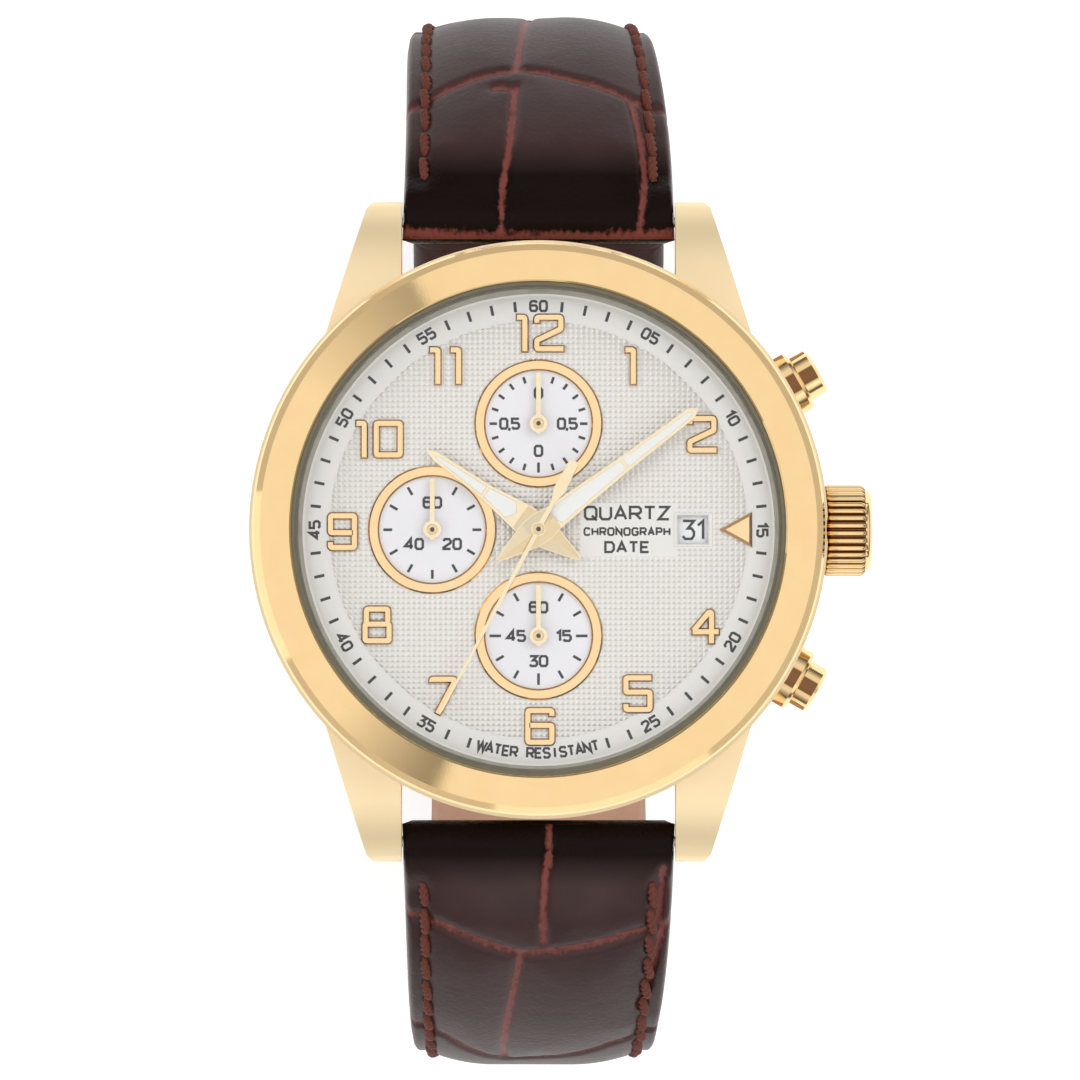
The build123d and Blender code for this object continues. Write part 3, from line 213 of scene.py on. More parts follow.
def dark_card(name, azimuth, elevation, width, length, shade, fade):
    """A card that only polished surfaces see, at a bearing in degrees, fading to one side."""
    a, e = math.radians(azimuth), math.radians(elevation)
    away = Vector((math.cos(a) * math.cos(e), math.sin(a) * math.cos(e), math.sin(e)))
    bm = bmesh.new()
    bmesh.ops.create_grid(bm, x_segments=2, y_segments=2, size=0.5)
    bmesh.ops.scale(bm, vec=(width * MM, length * MM, 1), verts=bm.verts)
    mesh = bpy.data.meshes.new(name)
    bm.to_mesh(mesh)
    bm.free()
    card = bpy.data.objects.new(name, mesh)
    scene.collection.objects.link(card)
    card.location = away * (CARD_DISTANCE * MM)
    card.rotation_euler = away.to_track_quat("Z", "X").to_euler()
    card.visible_camera = False
    card.visible_shadow = False
    card.visible_diffuse = False
    paint = bpy.data.materials.new(name)
    paint.use_nodes = True
    nodes = Nodes(paint.node_tree)
    along = nodes.add("SeparateXYZ", inputs={"Vector": nodes.add("TexCoord", output=3)}, output=1)
    share = along * (fade / (length * MM)) + 0.5
    tone = nodes.add("Mix", {"data_type": "RGBA"}, {0: share, 6: grey(shade), 7: grey(0.9)}, output=2)
    shader = paint.node_tree.nodes["Principled BSDF"]
    nodes.feed(shader.inputs["Base Color"], tone)
    shader.inputs["Roughness"].default_value = 0.9
    mesh.materials.append(paint)
    return card


dark_card("card_upper_left", 131, 64, 92, 75, 0.36, -1)
dark_card("card_lower_left", 233, 64, 92, 60, 0.22, 1)

floor_z = cad_low.z / MM - FLOOR_GAP
bm = bmesh.new()
bmesh.ops.create_grid(bm, x_segments=8, y_segments=8, size=1.5)
floor_mesh = bpy.data.meshes.new("floor")
bm.to_mesh(floor_mesh)
bm.free()
floor = bpy.data.objects.new("floor", floor_mesh)
scene.collection.objects.link(floor)
floor.location = (0, 0, floor_z * MM)
floor_paint = bpy.data.materials.new("pale_floor")
floor_paint.use_nodes = True
floor_shader = floor_paint.node_tree.nodes["Principled BSDF"]
floor_shader.inputs["Base Color"].default_value = FLOOR_COLOUR
floor_shader.inputs["Roughness"].default_value = 0.8
floor_shader.inputs["Specular IOR Level"].default_value = 0.2
floor_shader.inputs["Emission Color"].default_value = (1, 1, 1, 1)
floor_shader.inputs["Emission Strength"].default_value = FLOOR_GLOW
floor_mesh.materials.append(floor_paint)

# ---- Case and bezel -------------------------------------------------------------------------
# Gold-plated steel: a turned bezel polished to a mirror on a case middle whose lugs have a finer,
# duller polish, and a brushed screwed back.
def colour(red, green, blue):
    """A colour from its 0-255 display values, as the linear values that a shader takes."""
    parts = [v / 255 for v in (red, green, blue)]
    linear = [v / 12.92 if v <= 0.04045 else ((v + 0.055) / 1.055) ** 2.4 for v in parts]
    return (*linear, 1)


class Paint(Nodes):
    """A material with a Principled surface, in coordinates of millimetres."""

    def __init__(self, name, inputs):
        self.material = bpy.data.materials.new(name)
        self.material.use_nodes = True
        super().__init__(self.material.node_tree)
        self.surface = self.tree.nodes["Principled BSDF"]
        self.give(inputs)
        place = self.add("TexCoord", output=3)
        self.place = self.add("VectorMath", {"operation": "SCALE"}, {"Vector": place, "Scale": 1000.0})

    def give(self, inputs):
        for key, value in inputs.items():
            self.feed(self.surface.inputs[key], value)

    def noise(self, size, detail=2.0, place=None):
        """Soft random values from 0 to 1, with patches about size millimetres across."""
        inputs = {"Vector": place or self.place, "Scale": 1.0 / size, "Detail": detail}
        return self.add("TexNoise", {"noise_dimensions": "3D"}, inputs)

    def stretched(self, x, y, z):
        """The place drawn out along an axis, for brushed metal and fibres."""
        return self.add("VectorMath", {"operation": "MULTIPLY"}, {0: self.place, 1: (x, y, z)})

    def blend(self, first, second, share):
        """Two colours mixed by a share that varies."""
        return self.add("Mix", {"data_type": "RGBA"}, {0: share, 6: first, 7: second}, output=2)

    def bump(self, relief, depth, strength=1.0):
        """Relief of a depth in millimetres."""
        inputs = {"Height": relief, "Distance": depth * MM, "Strength": strength}
        self.give({"Normal": self.add("Bump", inputs=inputs)})


def dress(paint, *nodes):
    """Gives CAD nodes a material in place of the one they came with."""
    for node in nodes:
        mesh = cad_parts[node].data
        mesh.materials.clear()
        mesh.materials.append(paint.material)


GOLD = colour(251, 218, 164)
GOLD_DEEP = colour(243, 203, 142)


def metal(name, light, dark, rough, swing, patch=2.0, scratch=0.0015):
    """Plated or bare metal: two close tones, uneven gloss and hairline scratches."""
    paint = Paint(name, {"Metallic": 1.0})
    cloud = paint.noise(patch, 3.0)
    fine = paint.noise(0.12, 2.0)
    paint.tone = paint.blend(light, dark, cloud * 0.6)
    paint.give({"Base Color": paint.tone, "Roughness": cloud * swing + fine * (swing * 0.5) + rough})
    paint.bump(paint.noise(0.05, 3.0, paint.stretched(1.0, 0.12, 1.0)), scratch)
    return paint


polished_gold = metal("polished_gold", GOLD, GOLD_DEEP, 0.03, 0.04, scratch=0.0008)
satin_gold = metal("satin_gold", colour(255, 232, 188), colour(255, 224, 174), 0.26, 0.1, scratch=0.001)
satin_gold.give({"Metallic": 0.45})
dress(polished_gold, "bezel")
dress(satin_gold, "case_middle")
brushed_gold = metal("brushed_gold", GOLD, GOLD_DEEP, 0.22, 0.12, scratch=0.012)
dress(brushed_gold, "case_back")

# ---- Crystal --------------------------------------------------------------------------------
# A flat sapphire disc with a polished chamfer, pressed into a clear plastic ring, over the gold ring that
# stands between it and the dial. Both rings are painted a dark olive as painted shade, for the dark line
# round the dial.
crystal_paint = Paint("sapphire_crystal", {
    "Base Color": (0.9, 0.93, 0.95, 1), "IOR": 1.45, "Coat Weight": 0.0,
})
smear = crystal_paint.noise(6.0, 3.0)
crystal_paint.give({"Roughness": smear * 0.02 + 0.01, "Alpha": smear * 0.01 + 0.03})
dress(crystal_paint, "crystal")


def matte(name, light, dark, size, rough, swing, detail=3.0, relief=0.0, inputs=None):
    """Two close tones in patches about size millimetres across, with uneven gloss and relief."""
    paint = Paint(name, inputs or {"IOR": 1.5})
    patches = paint.noise(size, detail)
    paint.give({"Base Color": paint.blend(light, dark, patches), "Roughness": patches * swing + rough})
    if relief:
        paint.bump(patches, relief)
    return paint


# Both rings take a dark olive-grey colour as painted shade.
gasket_painted_shade = matte("gasket_painted_shade", colour(122, 112, 84), colour(96, 90, 68), 1.5, 0.3, 0.15)
dress(gasket_painted_shade, "crystal_gasket")
flange_painted_shade = metal("flange_painted_shade", colour(150, 142, 118), colour(120, 110, 86), 0.25, 0.1)
dress(flange_painted_shade, "flange_ring")

# ---- Dial plate -----------------------------------------------------------------------------
# A silvered brass plate with three sunk, whiter sub-dials and a sloping minute track. The field
# is struck with a fine grid of points, left smooth round the words and the date window.
DIAL_TOP = 7.6
SUBDIAL_FLOOR = 7.48
TRACK_INNER = 15.43
TRACK_OUTER = 17.2
TRACK_DROP = 0.15
SUBDIALS = {"tenths": (0.0, 7.8), "chrono_minutes": (-7.8, 0.0), "small_seconds": (0.0, -7.8)}
SUBDIAL_CLEAR_R = 4.6
WEAVE_PITCH = 0.39
WEAVE_HEIGHT = 0.07
WEAVE_FADE = 0.3
WINDOW = (10.05, 12.65, -1.3, 1.3)
WORDS_PLACE = (3.15, 9.95, -1.8, 1.8)

silver = Paint("silvered_dial", {"IOR": 1.5, "Specular IOR Level": 0.4})
grain = silver.noise(0.08, 2.0)
depth = silver.add("SeparateXYZ", inputs={"Vector": silver.place}, output=2)
sunk = depth < (DIAL_TOP + SUBDIAL_FLOOR) / 2
flat_place = silver.add("VectorMath", {"operation": "MULTIPLY"}, {0: silver.place, 1: (1, 1, 0)})
radius = silver.add("VectorMath", {"operation": "LENGTH"}, {0: flat_place}, output=1)
plain = sunk * (radius < TRACK_INNER - 0.5)
sloped = radius > TRACK_INNER
silver.give({
    "Base Color": silver.blend(colour(236, 233, 228), colour(238, 237, 241), plain),
    "Metallic": 0.42 - plain * 0.36 + sloped * 0.4,
    "Roughness": grain * 0.12 + 0.26,
})
silver.bump(grain, 0.004)
dress(silver, "dial")
# A darker silver, painted shade for the facet of each weave point that faces 6 o'clock.
weave_painted_shade = matte("weave_painted_shade_silver", colour(216, 211, 202), colour(204, 198, 188), 0.08, 0.26, 0.12, 2.0,
                     inputs={"IOR": 1.5, "Specular IOR Level": 0.4, "Metallic": 0.42})


def piece(name, points, faces, paint, body, smooth=True):
    """A mesh piece from points in millimetres, riding on a body of the frame."""
    mesh = bpy.data.meshes.new(name)
    mesh.from_pydata([(x * MM, y * MM, z * MM) for x, y, z in points], [], faces)
    mesh.validate()
    mesh.polygons.foreach_set("use_smooth", [smooth] * len(mesh.polygons))
    mesh.materials.append(paint.material)
    made = bpy.data.objects.new(name, mesh)
    scene.collection.objects.link(made)
    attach(made, body)
    return made


count = int(TRACK_INNER / WEAVE_PITCH) + 1
ticks = (np.arange(-count, count) + 0.5) * WEAVE_PITCH
grid_x, grid_y = [a.ravel() for a in np.meshgrid(ticks, ticks)]
clear = TRACK_INNER + 0.3 - np.hypot(grid_x, grid_y)
for cx, cy in SUBDIALS.values():
    clear = np.minimum(clear, np.hypot(grid_x - cx, grid_y - cy) - SUBDIAL_CLEAR_R)
for x0, x1, y0, y1 in (WINDOW, WORDS_PLACE):
    outside = np.maximum(np.maximum(x0 - grid_x, grid_x - x1), np.maximum(y0 - grid_y, grid_y - y1))
    clear = np.minimum(clear, outside)
keep = (clear > 0) & (np.hypot(grid_x, grid_y) < TRACK_INNER)
rises = WEAVE_HEIGHT * np.clip(0.25 + clear / WEAVE_FADE, 0, 1)
points = []
faces = []
half = WEAVE_PITCH / 2 * 0.98
corners = [(-half, -half, 0), (half, -half, 0), (half, half, 0), (-half, half, 0), (0, 0, 1)]
for x, y, rise in zip(grid_x[keep], grid_y[keep], rises[keep]):
    k = len(points)
    for dx, dy, share in corners:
        inward = min(1.0, (TRACK_INNER - 0.04) / math.hypot(x + dx, y + dy))
        points.append(((x + dx) * inward, (y + dy) * inward, DIAL_TOP + share * rise))
    faces += [(k, k + 1, k + 4), (k + 1, k + 2, k + 4), (k + 2, k + 3, k + 4), (k + 3, k, k + 4)]
weave = piece("dial_weave", points, faces, silver, "case", smooth=False)
# Each point's facet towards 6 o'clock takes the darker silver as painted shade.
weave.data.materials.append(weave_painted_shade.material)
for face in weave.data.polygons:
    face.material_index = 1 if face.index % 4 == 0 else 0

# ---- Dial printing --------------------------------------------------------------------------
# Black ink pad-printed in thin raised lines: the minute track with its numbers, the scales of the
# sub-dials, three lines of words and a curved line at the foot.
INK_LIFT = 0.014
LETTERS = {
    "A": (1.0, [[(0, 0), (0.5, 1), (1, 0)], [(0.2, 0.32), (0.8, 0.32)]]),
    "C": (0.95, [[(1, 0.8), (0.8, 1), (0.2, 1), (0, 0.8), (0, 0.2), (0.2, 0), (0.8, 0), (1, 0.2)]]),
    "D": (0.95, [[(0, 0), (0, 1), (0.75, 1), (1, 0.75), (1, 0.25), (0.75, 0), (0, 0)]]),
    "E": (0.85, [[(1, 1), (0, 1), (0, 0), (1, 0)], [(0, 0.5), (0.85, 0.5)]]),
    "G": (1.0, [[(1, 0.8), (0.8, 1), (0.2, 1), (0, 0.8), (0, 0.2), (0.2, 0), (0.8, 0), (1, 0.2),
                 (1, 0.46), (0.55, 0.46)]]),
    "H": (0.95, [[(0, 0), (0, 1)], [(1, 0), (1, 1)], [(0, 0.5), (1, 0.5)]]),
    "I": (0.0, [[(0, 0), (0, 1)]]),
    "N": (0.95, [[(0, 0), (0, 1), (1, 0), (1, 1)]]),
    "O": (1.0, [[(0.5, 0), (0.8, 0), (1, 0.2), (1, 0.8), (0.8, 1), (0.2, 1), (0, 0.8), (0, 0.2),
                 (0.2, 0), (0.5, 0)]]),
    "P": (0.9, [[(0, 0), (0, 1), (0.8, 1), (1, 0.85), (1, 0.6), (0.8, 0.45), (0, 0.45)]]),
    "Q": (1.0, [[(0.5, 0), (0.8, 0), (1, 0.2), (1, 0.8), (0.8, 1), (0.2, 1), (0, 0.8), (0, 0.2),
                 (0.2, 0), (0.5, 0)], [(0.6, 0.3), (1.05, -0.1)]]),
    "R": (0.95, [[(0, 0), (0, 1), (0.8, 1), (1, 0.85), (1, 0.6), (0.8, 0.45), (0, 0.45)],
                 [(0.5, 0.45), (1, 0)]]),
    "S": (0.9, [[(1, 0.82), (0.8, 1), (0.2, 1), (0, 0.82), (0, 0.68), (0.2, 0.53), (0.8, 0.47),
                 (1, 0.32), (1, 0.18), (0.8, 0), (0.2, 0), (0, 0.18)]]),
    "T": (0.9, [[(0, 1), (1, 1)], [(0.5, 0), (0.5, 1)]]),
    "U": (0.95, [[(0, 1), (0, 0.2), (0.2, 0), (0.8, 0), (1, 0.2), (1, 1)]]),
    "W": (1.35, [[(0, 1), (0.25, 0), (0.5, 0.85), (0.75, 0), (1, 1)]]),
    "Z": (0.9, [[(0, 1), (1, 1), (0, 0), (1, 0)]]),
    "0": (0.85, [[(0.5, 0), (0.8, 0), (1, 0.18), (1, 0.82), (0.8, 1), (0.2, 1), (0, 0.82), (0, 0.18),
                  (0.2, 0), (0.5, 0)]]),
    "1": (0.45, [[(0, 0.75), (0.9, 1), (0.9, 0)]]),
    "2": (0.85, [[(0, 0.8), (0.2, 1), (0.8, 1), (1, 0.82), (1, 0.62), (0, 0.12), (0, 0), (1, 0)]]),
    "3": (0.85, [[(0, 1), (1, 1), (0.45, 0.58), (0.78, 0.58), (1, 0.4), (1, 0.18), (0.8, 0), (0.2, 0),
                  (0, 0.16)]]),
    "4": (0.9, [[(0.75, 0), (0.75, 1), (0, 0.28), (1.05, 0.28)]]),
    "5": (0.85, [[(1, 1), (0, 1), (0, 0.58), (0.8, 0.58), (1, 0.42), (1, 0.18), (0.8, 0), (0.2, 0),
                  (0, 0.16)]]),
    "6": (0.85, [[(1, 0.84), (0.8, 1), (0.2, 1), (0, 0.82), (0, 0.18), (0.2, 0), (0.8, 0), (1, 0.18),
                  (1, 0.4), (0.8, 0.57), (0, 0.57)]]),
    "7": (0.85, [[(0, 1), (1, 1), (0.35, 0)]]),
    "8": (0.85, [[(0.5, 0.52), (0.15, 0.65), (0.15, 0.9), (0.3, 1), (0.7, 1), (0.85, 0.9), (0.85, 0.65),
                  (0.5, 0.52), (0, 0.38), (0, 0.14), (0.2, 0), (0.8, 0), (1, 0.14), (1, 0.38),
                  (0.5, 0.52)]]),
    "9": (0.85, [[(0, 0.16), (0.2, 0), (0.8, 0), (1, 0.18), (1, 0.82), (0.8, 1), (0.2, 1), (0, 0.82),
                  (0, 0.6), (0.2, 0.43), (1, 0.43)]]),
    ",": (0.12, [[(0.5, 0.08), (-0.3, -0.22)]]),
    " ": (0.5, []),
}


def unit(dx, dy):
    length = math.hypot(dx, dy) or 1.0
    return dx / length, dy / length


def beside(path, shift):
    """A path moved sideways by a distance, with its corners mitred."""
    ways = [unit(bx - ax, by - ay) for (ax, ay), (bx, by) in zip(path, path[1:])]
    closed = math.dist(path[0], path[-1]) < 1e-6
    moved = []
    for k, (x, y) in enumerate(path):
        before = ways[k - 1] if k or closed else ways[0]
        after = ways[k] if k < len(ways) else (ways[0] if closed else ways[-1])
        nx, ny = -(before[1] + after[1]), before[0] + after[0]
        scale = 1 + before[0] * after[0] + before[1] * after[1]
        moved.append((x + nx * shift / scale, y + ny * shift / scale))
    return moved


class Ink:
    """Flat printed strokes, gathered into one piece."""

    def __init__(self, level):
        self.level = level
        self.points = []
        self.faces = []

    def stroke(self, path, width):
        left, right = beside(path, width / 2), beside(path, -width / 2)
        for (a, b), (c, d) in zip(zip(left, right), zip(left[1:], right[1:])):
            k = len(self.points)
            self.points += [(x, y, self.level(x, y)) for x, y in (b, d, c, a)]
            self.faces.append((k, k + 1, k + 2, k + 3))

    def words(self, text, x, y, height, aspect=0.62, gap=0.3, pen=0.16, turn=0.0):
        """Words centred on a point, turned by an angle in degrees."""
        cells = [LETTERS[c][0] * height * aspect for c in text]
        total = sum(cells) + height * gap * (len(text) - 1)
        c, s = math.cos(math.radians(turn)), math.sin(math.radians(turn))
        start = -total / 2
        for letter, cell in zip(text, cells):
            for path in LETTERS[letter][1]:
                placed = [(start + px * (cell or 1), (py - 0.5) * height) for px, py in path]
                self.stroke([(x + c * u - s * v, y + s * u + c * v) for u, v in placed], height * pen)
            start += cell + height * gap


def dial_level(x, y):
    """The height of fresh ink over the dial at a point."""
    r = math.hypot(x, y)
    fall = TRACK_DROP * max(0.0, min(1.0, (r - TRACK_INNER) / (TRACK_OUTER - TRACK_INNER)))
    sunken = any(math.dist((x, y), centre) < 3.9 for centre in SUBDIALS.values())
    return (SUBDIAL_FLOOR if sunken else DIAL_TOP - fall) + INK_LIFT


def at(radius, clock_angle, centre=(0.0, 0.0)):
    """A point at a clockwise angle from 12 o'clock."""
    a = math.radians(clock_angle)
    return centre[0] + radius * math.sin(a), centre[1] + radius * math.cos(a)


ink = matte("black_ink", colour(24, 22, 22), colour(42, 40, 38), 0.1, 0.45, 0.2, 2.0, inputs={"IOR": 1.45})
track = Ink(dial_level)
for k in range(60):
    if k % 5 and not 27 < k < 33:
        track.stroke([at(16.08, k * 6), at(16.84, k * 6)], 0.22)
for k in range(12):
    if k == 6:
        continue
    angle = k * 30
    number = "60" if k == 0 else f"{k * 5:02d}"
    flipped = 100 < angle < 260
    track.words(number, *at(16.45, angle), 0.72, aspect=0.8, gap=0.32, pen=0.26,
                turn=-angle + (180 if flipped else 0))
foot = "WATER RESISTANT"
for k, letter in enumerate(foot):
    angle = 180 + (len(foot) / 2 - k - 0.5) * 2.1
    track.words(letter, *at(16.4, angle), 0.68, aspect=0.72, pen=0.26, turn=180 - angle)
edge = Ink(lambda x, y: DIAL_TOP + 0.02)
edge.stroke([at(TRACK_INNER - 0.04, a) for a in range(0, 361, 2)], 0.07)
piece("dial_field_edge", edge.points, edge.faces, silver, "case", smooth=False)
piece("minute_track_print", track.points, track.faces, ink, "case", smooth=False)

words = Ink(lambda x, y: DIAL_TOP + INK_LIFT)
words.words("QUARTZ", 6.5, 1.22, 0.9, aspect=0.92, gap=0.32, pen=0.21)
words.words("CHRONOGRAPH", 6.5, -0.14, 0.5, aspect=0.82, gap=0.38, pen=0.29)
words.words("DATE", 6.5, -1.28, 0.72, aspect=0.9, gap=0.36, pen=0.25)
piece("dial_words_print", words.points, words.faces, ink, "case", smooth=False)

# Each sub-dial's ticks: how many go round, the ones left out, the longer ones, and the radii at
# which the longer and the other ones start. Its numbers follow, with their places off its centre.
SCALES = {
    "tenths": (20, (0, 5, 15), (10,), 2.85, 3.1, [("0", 0.0, 2.25), ("0", 0.0, -2.0)]),
    "chrono_minutes": (12, (0,), (), 2.95, 2.95,
                       [("60", 0.0, 2.0), ("40", -1.35, -1.05), ("20", 1.45, -1.05)]),
    "small_seconds": (12, (0,), (3, 6, 9), 2.75, 2.95,
                      [("60", 0.0, 2.1), ("30", 0.0, -1.85), ("45", -1.65, 0.0), ("15", 1.85, 0.0)]),
}
TICK_END = 3.6
TICK_WIDTH = 0.2
SCALE_NUMBER_HEIGHT = 0.72
scales = Ink(lambda x, y: SUBDIAL_FLOOR + INK_LIFT)
for name, (around, left_out, longer, long_start, start, numbers) in SCALES.items():
    centre = SUBDIALS[name]
    for k in range(around):
        if k not in left_out:
            inner, turn = long_start if k in longer else start, k * 360 / around
            scales.stroke([at(inner, turn, centre), at(TICK_END, turn, centre)], TICK_WIDTH)
    for number, dx, dy in numbers:
        scales.words(number, centre[0] + dx, centre[1] + dy, SCALE_NUMBER_HEIGHT, aspect=0.86, gap=0.3,
                     pen=0.26)
cx, cy = SUBDIALS["tenths"]
for side in (-1, 1):
    scales.words("0,5", cx + side * 2.12, cy, SCALE_NUMBER_HEIGHT, aspect=0.82, gap=0.2, pen=0.26)
    scales.stroke([(cx + side * 3.05, cy), (cx + side * TICK_END, cy)], TICK_WIDTH)
piece("subdial_print", scales.points, scales.faces, ink, "case", smooth=False)

# ---- Date disc ------------------------------------------------------------------------------
# A white-lacquered ring under the dial with the days 1 to 31 printed round it; one shows in the
# window at 3 o'clock.
DATE_TOP = 7.05
DATE_R = 11.38
date_white = matte("date_white", colour(246, 246, 246), colour(236, 237, 238), 0.4, 0.35, 0.15, 2.0,
                   inputs={"IOR": 1.45})
dress(date_white, "date_ring")
days = Ink(lambda x, y: DATE_TOP + INK_LIFT)
for day in range(1, 32):
    angle = (31 - day) * 360 / 31
    a = math.radians(angle)
    days.words(str(day), DATE_R * math.cos(a), DATE_R * math.sin(a), 1.32, aspect=0.72, gap=0.22,
               pen=0.145, turn=angle)
piece("date_print", days.points, days.faces, ink, "date_ring", smooth=False)


def ring_faces(first, rings, around, flip=False):
    """Faces between rings of points that follow one another in a piece's list."""
    faces = []
    for r in range(rings - 1):
        for c in range(around):
            a, b = first + r * around + c, first + r * around + (c + 1) % around
            face = (a, b, b + around, a + around)
            faces.append(face[::-1] if flip else face)
    return faces


points = []
for x0, x1, half_y, z in ((9.93, 12.81, 1.26, DIAL_TOP + 0.005), (9.97, 12.77, 1.22, DIAL_TOP + 0.05),
                          (10.12, 12.6, 1.08, DIAL_TOP + 0.02), (10.28, 12.44, 0.98, DIAL_TOP - 0.3)):
    points += [(x0, -half_y, z), (x1, -half_y, z), (x1, half_y, z), (x0, half_y, z)]
piece("date_window_frame", points, ring_faces(0, 4, 4), silver, "case", smooth=False)

# ---- Applied numerals -----------------------------------------------------------------------
# Raised gold strokes with polished bevels along both edges, and a triangle at 3 o'clock, each
# pinned through the dial plate. The bevels and sides are painted a darker, browner gold as painted shade.
NUMERAL_WIDTH = 0.58
NUMERAL_HEIGHT = 0.35
BEVEL = 0.11
OUTER_CORNER = 0.42
CORNER_STEPS = 5
# A digit's strokes run along middle lines SIDE and RISE from its centre; END is how far a stroke
# goes on past them, so that it ends level with the others' edges.
SIDE = 0.88
RISE = 1.16
END = NUMERAL_WIDTH / 2
NUMERAL_STROKES = {
    "0": [[(-SIDE, -RISE), (SIDE, -RISE), (SIDE, RISE), (-SIDE, RISE), (-SIDE, -RISE)]],
    "1": [[(-0.36, RISE), (0.32, RISE), (0.32, -RISE - END)]],
    "2": [[(-SIDE, RISE - 0.5), (-SIDE, RISE), (SIDE, RISE), (SIDE, 0.3), (-SIDE, -0.55),
           (-SIDE, -RISE), (SIDE + END, -RISE)]],
    "4": [[(0.5, -RISE - END), (0.5, RISE), (-SIDE, -0.5)], [(-SIDE - 0.1, -0.5), (SIDE + 0.25, -0.5)]],
    "5": [[(SIDE + 0.2, RISE), (-SIDE, RISE), (-SIDE, 0.12), (SIDE, 0.12), (SIDE, -RISE),
           (-SIDE, -RISE), (-SIDE, -RISE + 0.5)]],
    "6": [[(SIDE, RISE - 0.5), (SIDE, RISE), (-SIDE, RISE), (-SIDE, -RISE), (SIDE, -RISE),
           (SIDE, 0.08), (-SIDE, 0.08)]],
    "7": [[(-SIDE, RISE - 0.3), (-SIDE, RISE), (SIDE, RISE), (-0.5, -RISE - END)]],
    "8": [
        [(0.1 - SIDE, 0.06), (SIDE - 0.1, 0.06), (SIDE - 0.1, RISE), (0.1 - SIDE, RISE),
         (0.1 - SIDE, 0.06)],
        [(-SIDE, 0.06), (-SIDE, -RISE), (SIDE, -RISE), (SIDE, 0.06), (-SIDE, 0.06)],
    ],
    "9": [[(-SIDE, 0.5 - RISE), (-SIDE, -RISE), (SIDE, -RISE), (SIDE, RISE), (-SIDE, RISE),
           (-SIDE, -0.08), (SIDE, -0.08)]],
}
NUMERAL_GAP = 0.3
NUMERAL_PLACES = {
    "12": (0.0, 14.45), "1": (6.65, 12.05), "2": (12.0, 7.0), "4": (12.2, -7.0), "5": (7.3, -12.05),
    "6": (0.1, -14.45), "7": (-6.95, -12.15), "8": (-11.85, -7.0), "9": (-14.4, -0.15),
    "10": (-11.8, 6.65), "11": (-6.95, 12.05),
}
TRIANGLE_TIP = 13.3
TRIANGLE_BASE = 15.7
TRIANGLE_HALF = 1.32


def digit_centres(text):
    """Each digit of a numeral with how far its centre is from the numeral's."""
    widths = [2 * (0.32 if d == "1" else SIDE) + NUMERAL_WIDTH for d in text]
    start = -(sum(widths) + NUMERAL_GAP * (len(text) - 1)) / 2
    placed = []
    for digit, width in zip(text, widths):
        placed.append((digit, start + width / 2))
        start += width + NUMERAL_GAP
    return placed


numeral_paths = []
for text, (x, y) in NUMERAL_PLACES.items():
    for digit, shift in digit_centres(text):
        for path in NUMERAL_STROKES[digit]:
            numeral_paths.append([(x + shift + px, y + py) for px, py in path])
triangle = [(TRIANGLE_TIP, 0.0), (TRIANGLE_BASE, -TRIANGLE_HALF), (TRIANGLE_BASE, TRIANGLE_HALF)]


def beside_rounded(path, shift, corner, pull=0.0):
    """A path moved sideways, its corners rounded about the same centres, its ends drawn in."""
    closed = math.dist(path[0], path[-1]) < 1e-6
    ways = [unit(bx - ax, by - ay) for (ax, ay), (bx, by) in zip(path, path[1:])]
    mitred = beside(path, shift)
    made = []
    for k in range(len(path) - (1 if closed else 0)):
        x, y = mitred[k]
        if not closed and k in (0, len(path) - 1):
            way = ways[0] if k == 0 else ways[-1]
            sign = 1 if k == 0 else -1
            made.append((x + way[0] * pull * sign, y + way[1] * pull * sign))
            continue
        before, after = ways[k - 1], ways[k]
        turn = math.atan2(before[0] * after[1] - before[1] * after[0],
                          before[0] * after[0] + before[1] * after[1])
        inward = 1 if turn > 0 else -1
        radius = max(0.02, corner - inward * shift)
        reach = radius * math.tan(abs(turn) / 2)
        start = (x - before[0] * reach, y - before[1] * reach)
        cx, cy = start[0] - inward * before[1] * radius, start[1] + inward * before[0] * radius
        first = math.atan2(start[1] - cy, start[0] - cx)
        for step in range(CORNER_STEPS + 1):
            a = first + turn * step / CORNER_STEPS
            made.append((cx + radius * math.cos(a), cy + radius * math.sin(a)))
    return made + made[:1] if closed else made


def bevelled_stroke(path, width, bevel, base, top, points, faces):
    """A solid stroke with a bevelled top edge, added to a piece's points and faces."""
    half = width / 2
    closed = math.dist(path[0], path[-1]) < 1e-6
    rows = []
    drop = 1.7 * bevel
    for shift, z, pull in ((-half, base, 0), (-half, top - drop, 0), (bevel - half, top, bevel),
                           (half - bevel, top, bevel), (half, top - drop, 0), (half, base, 0)):
        line = beside_rounded(path, shift, OUTER_CORNER - half, pull)
        rows.append([(x, y, z) for x, y in line])
    k = len(points)
    count = len(rows[0])
    for row in rows:
        points += row
    for r in range(len(rows) - 1):
        for c in range(count - 1):
            a = k + r * count + c
            faces.append((a, a + count, a + count + 1, a + 1))
    if not closed:
        for c, order in ((0, 1), (count - 1, -1)):
            ring = [k + r * count + c for r in range(6)]
            faces.append(tuple([ring[0], ring[1], ring[4], ring[5]][::order]))
            faces.append(tuple([ring[1], ring[2], ring[3], ring[4]][::order]))


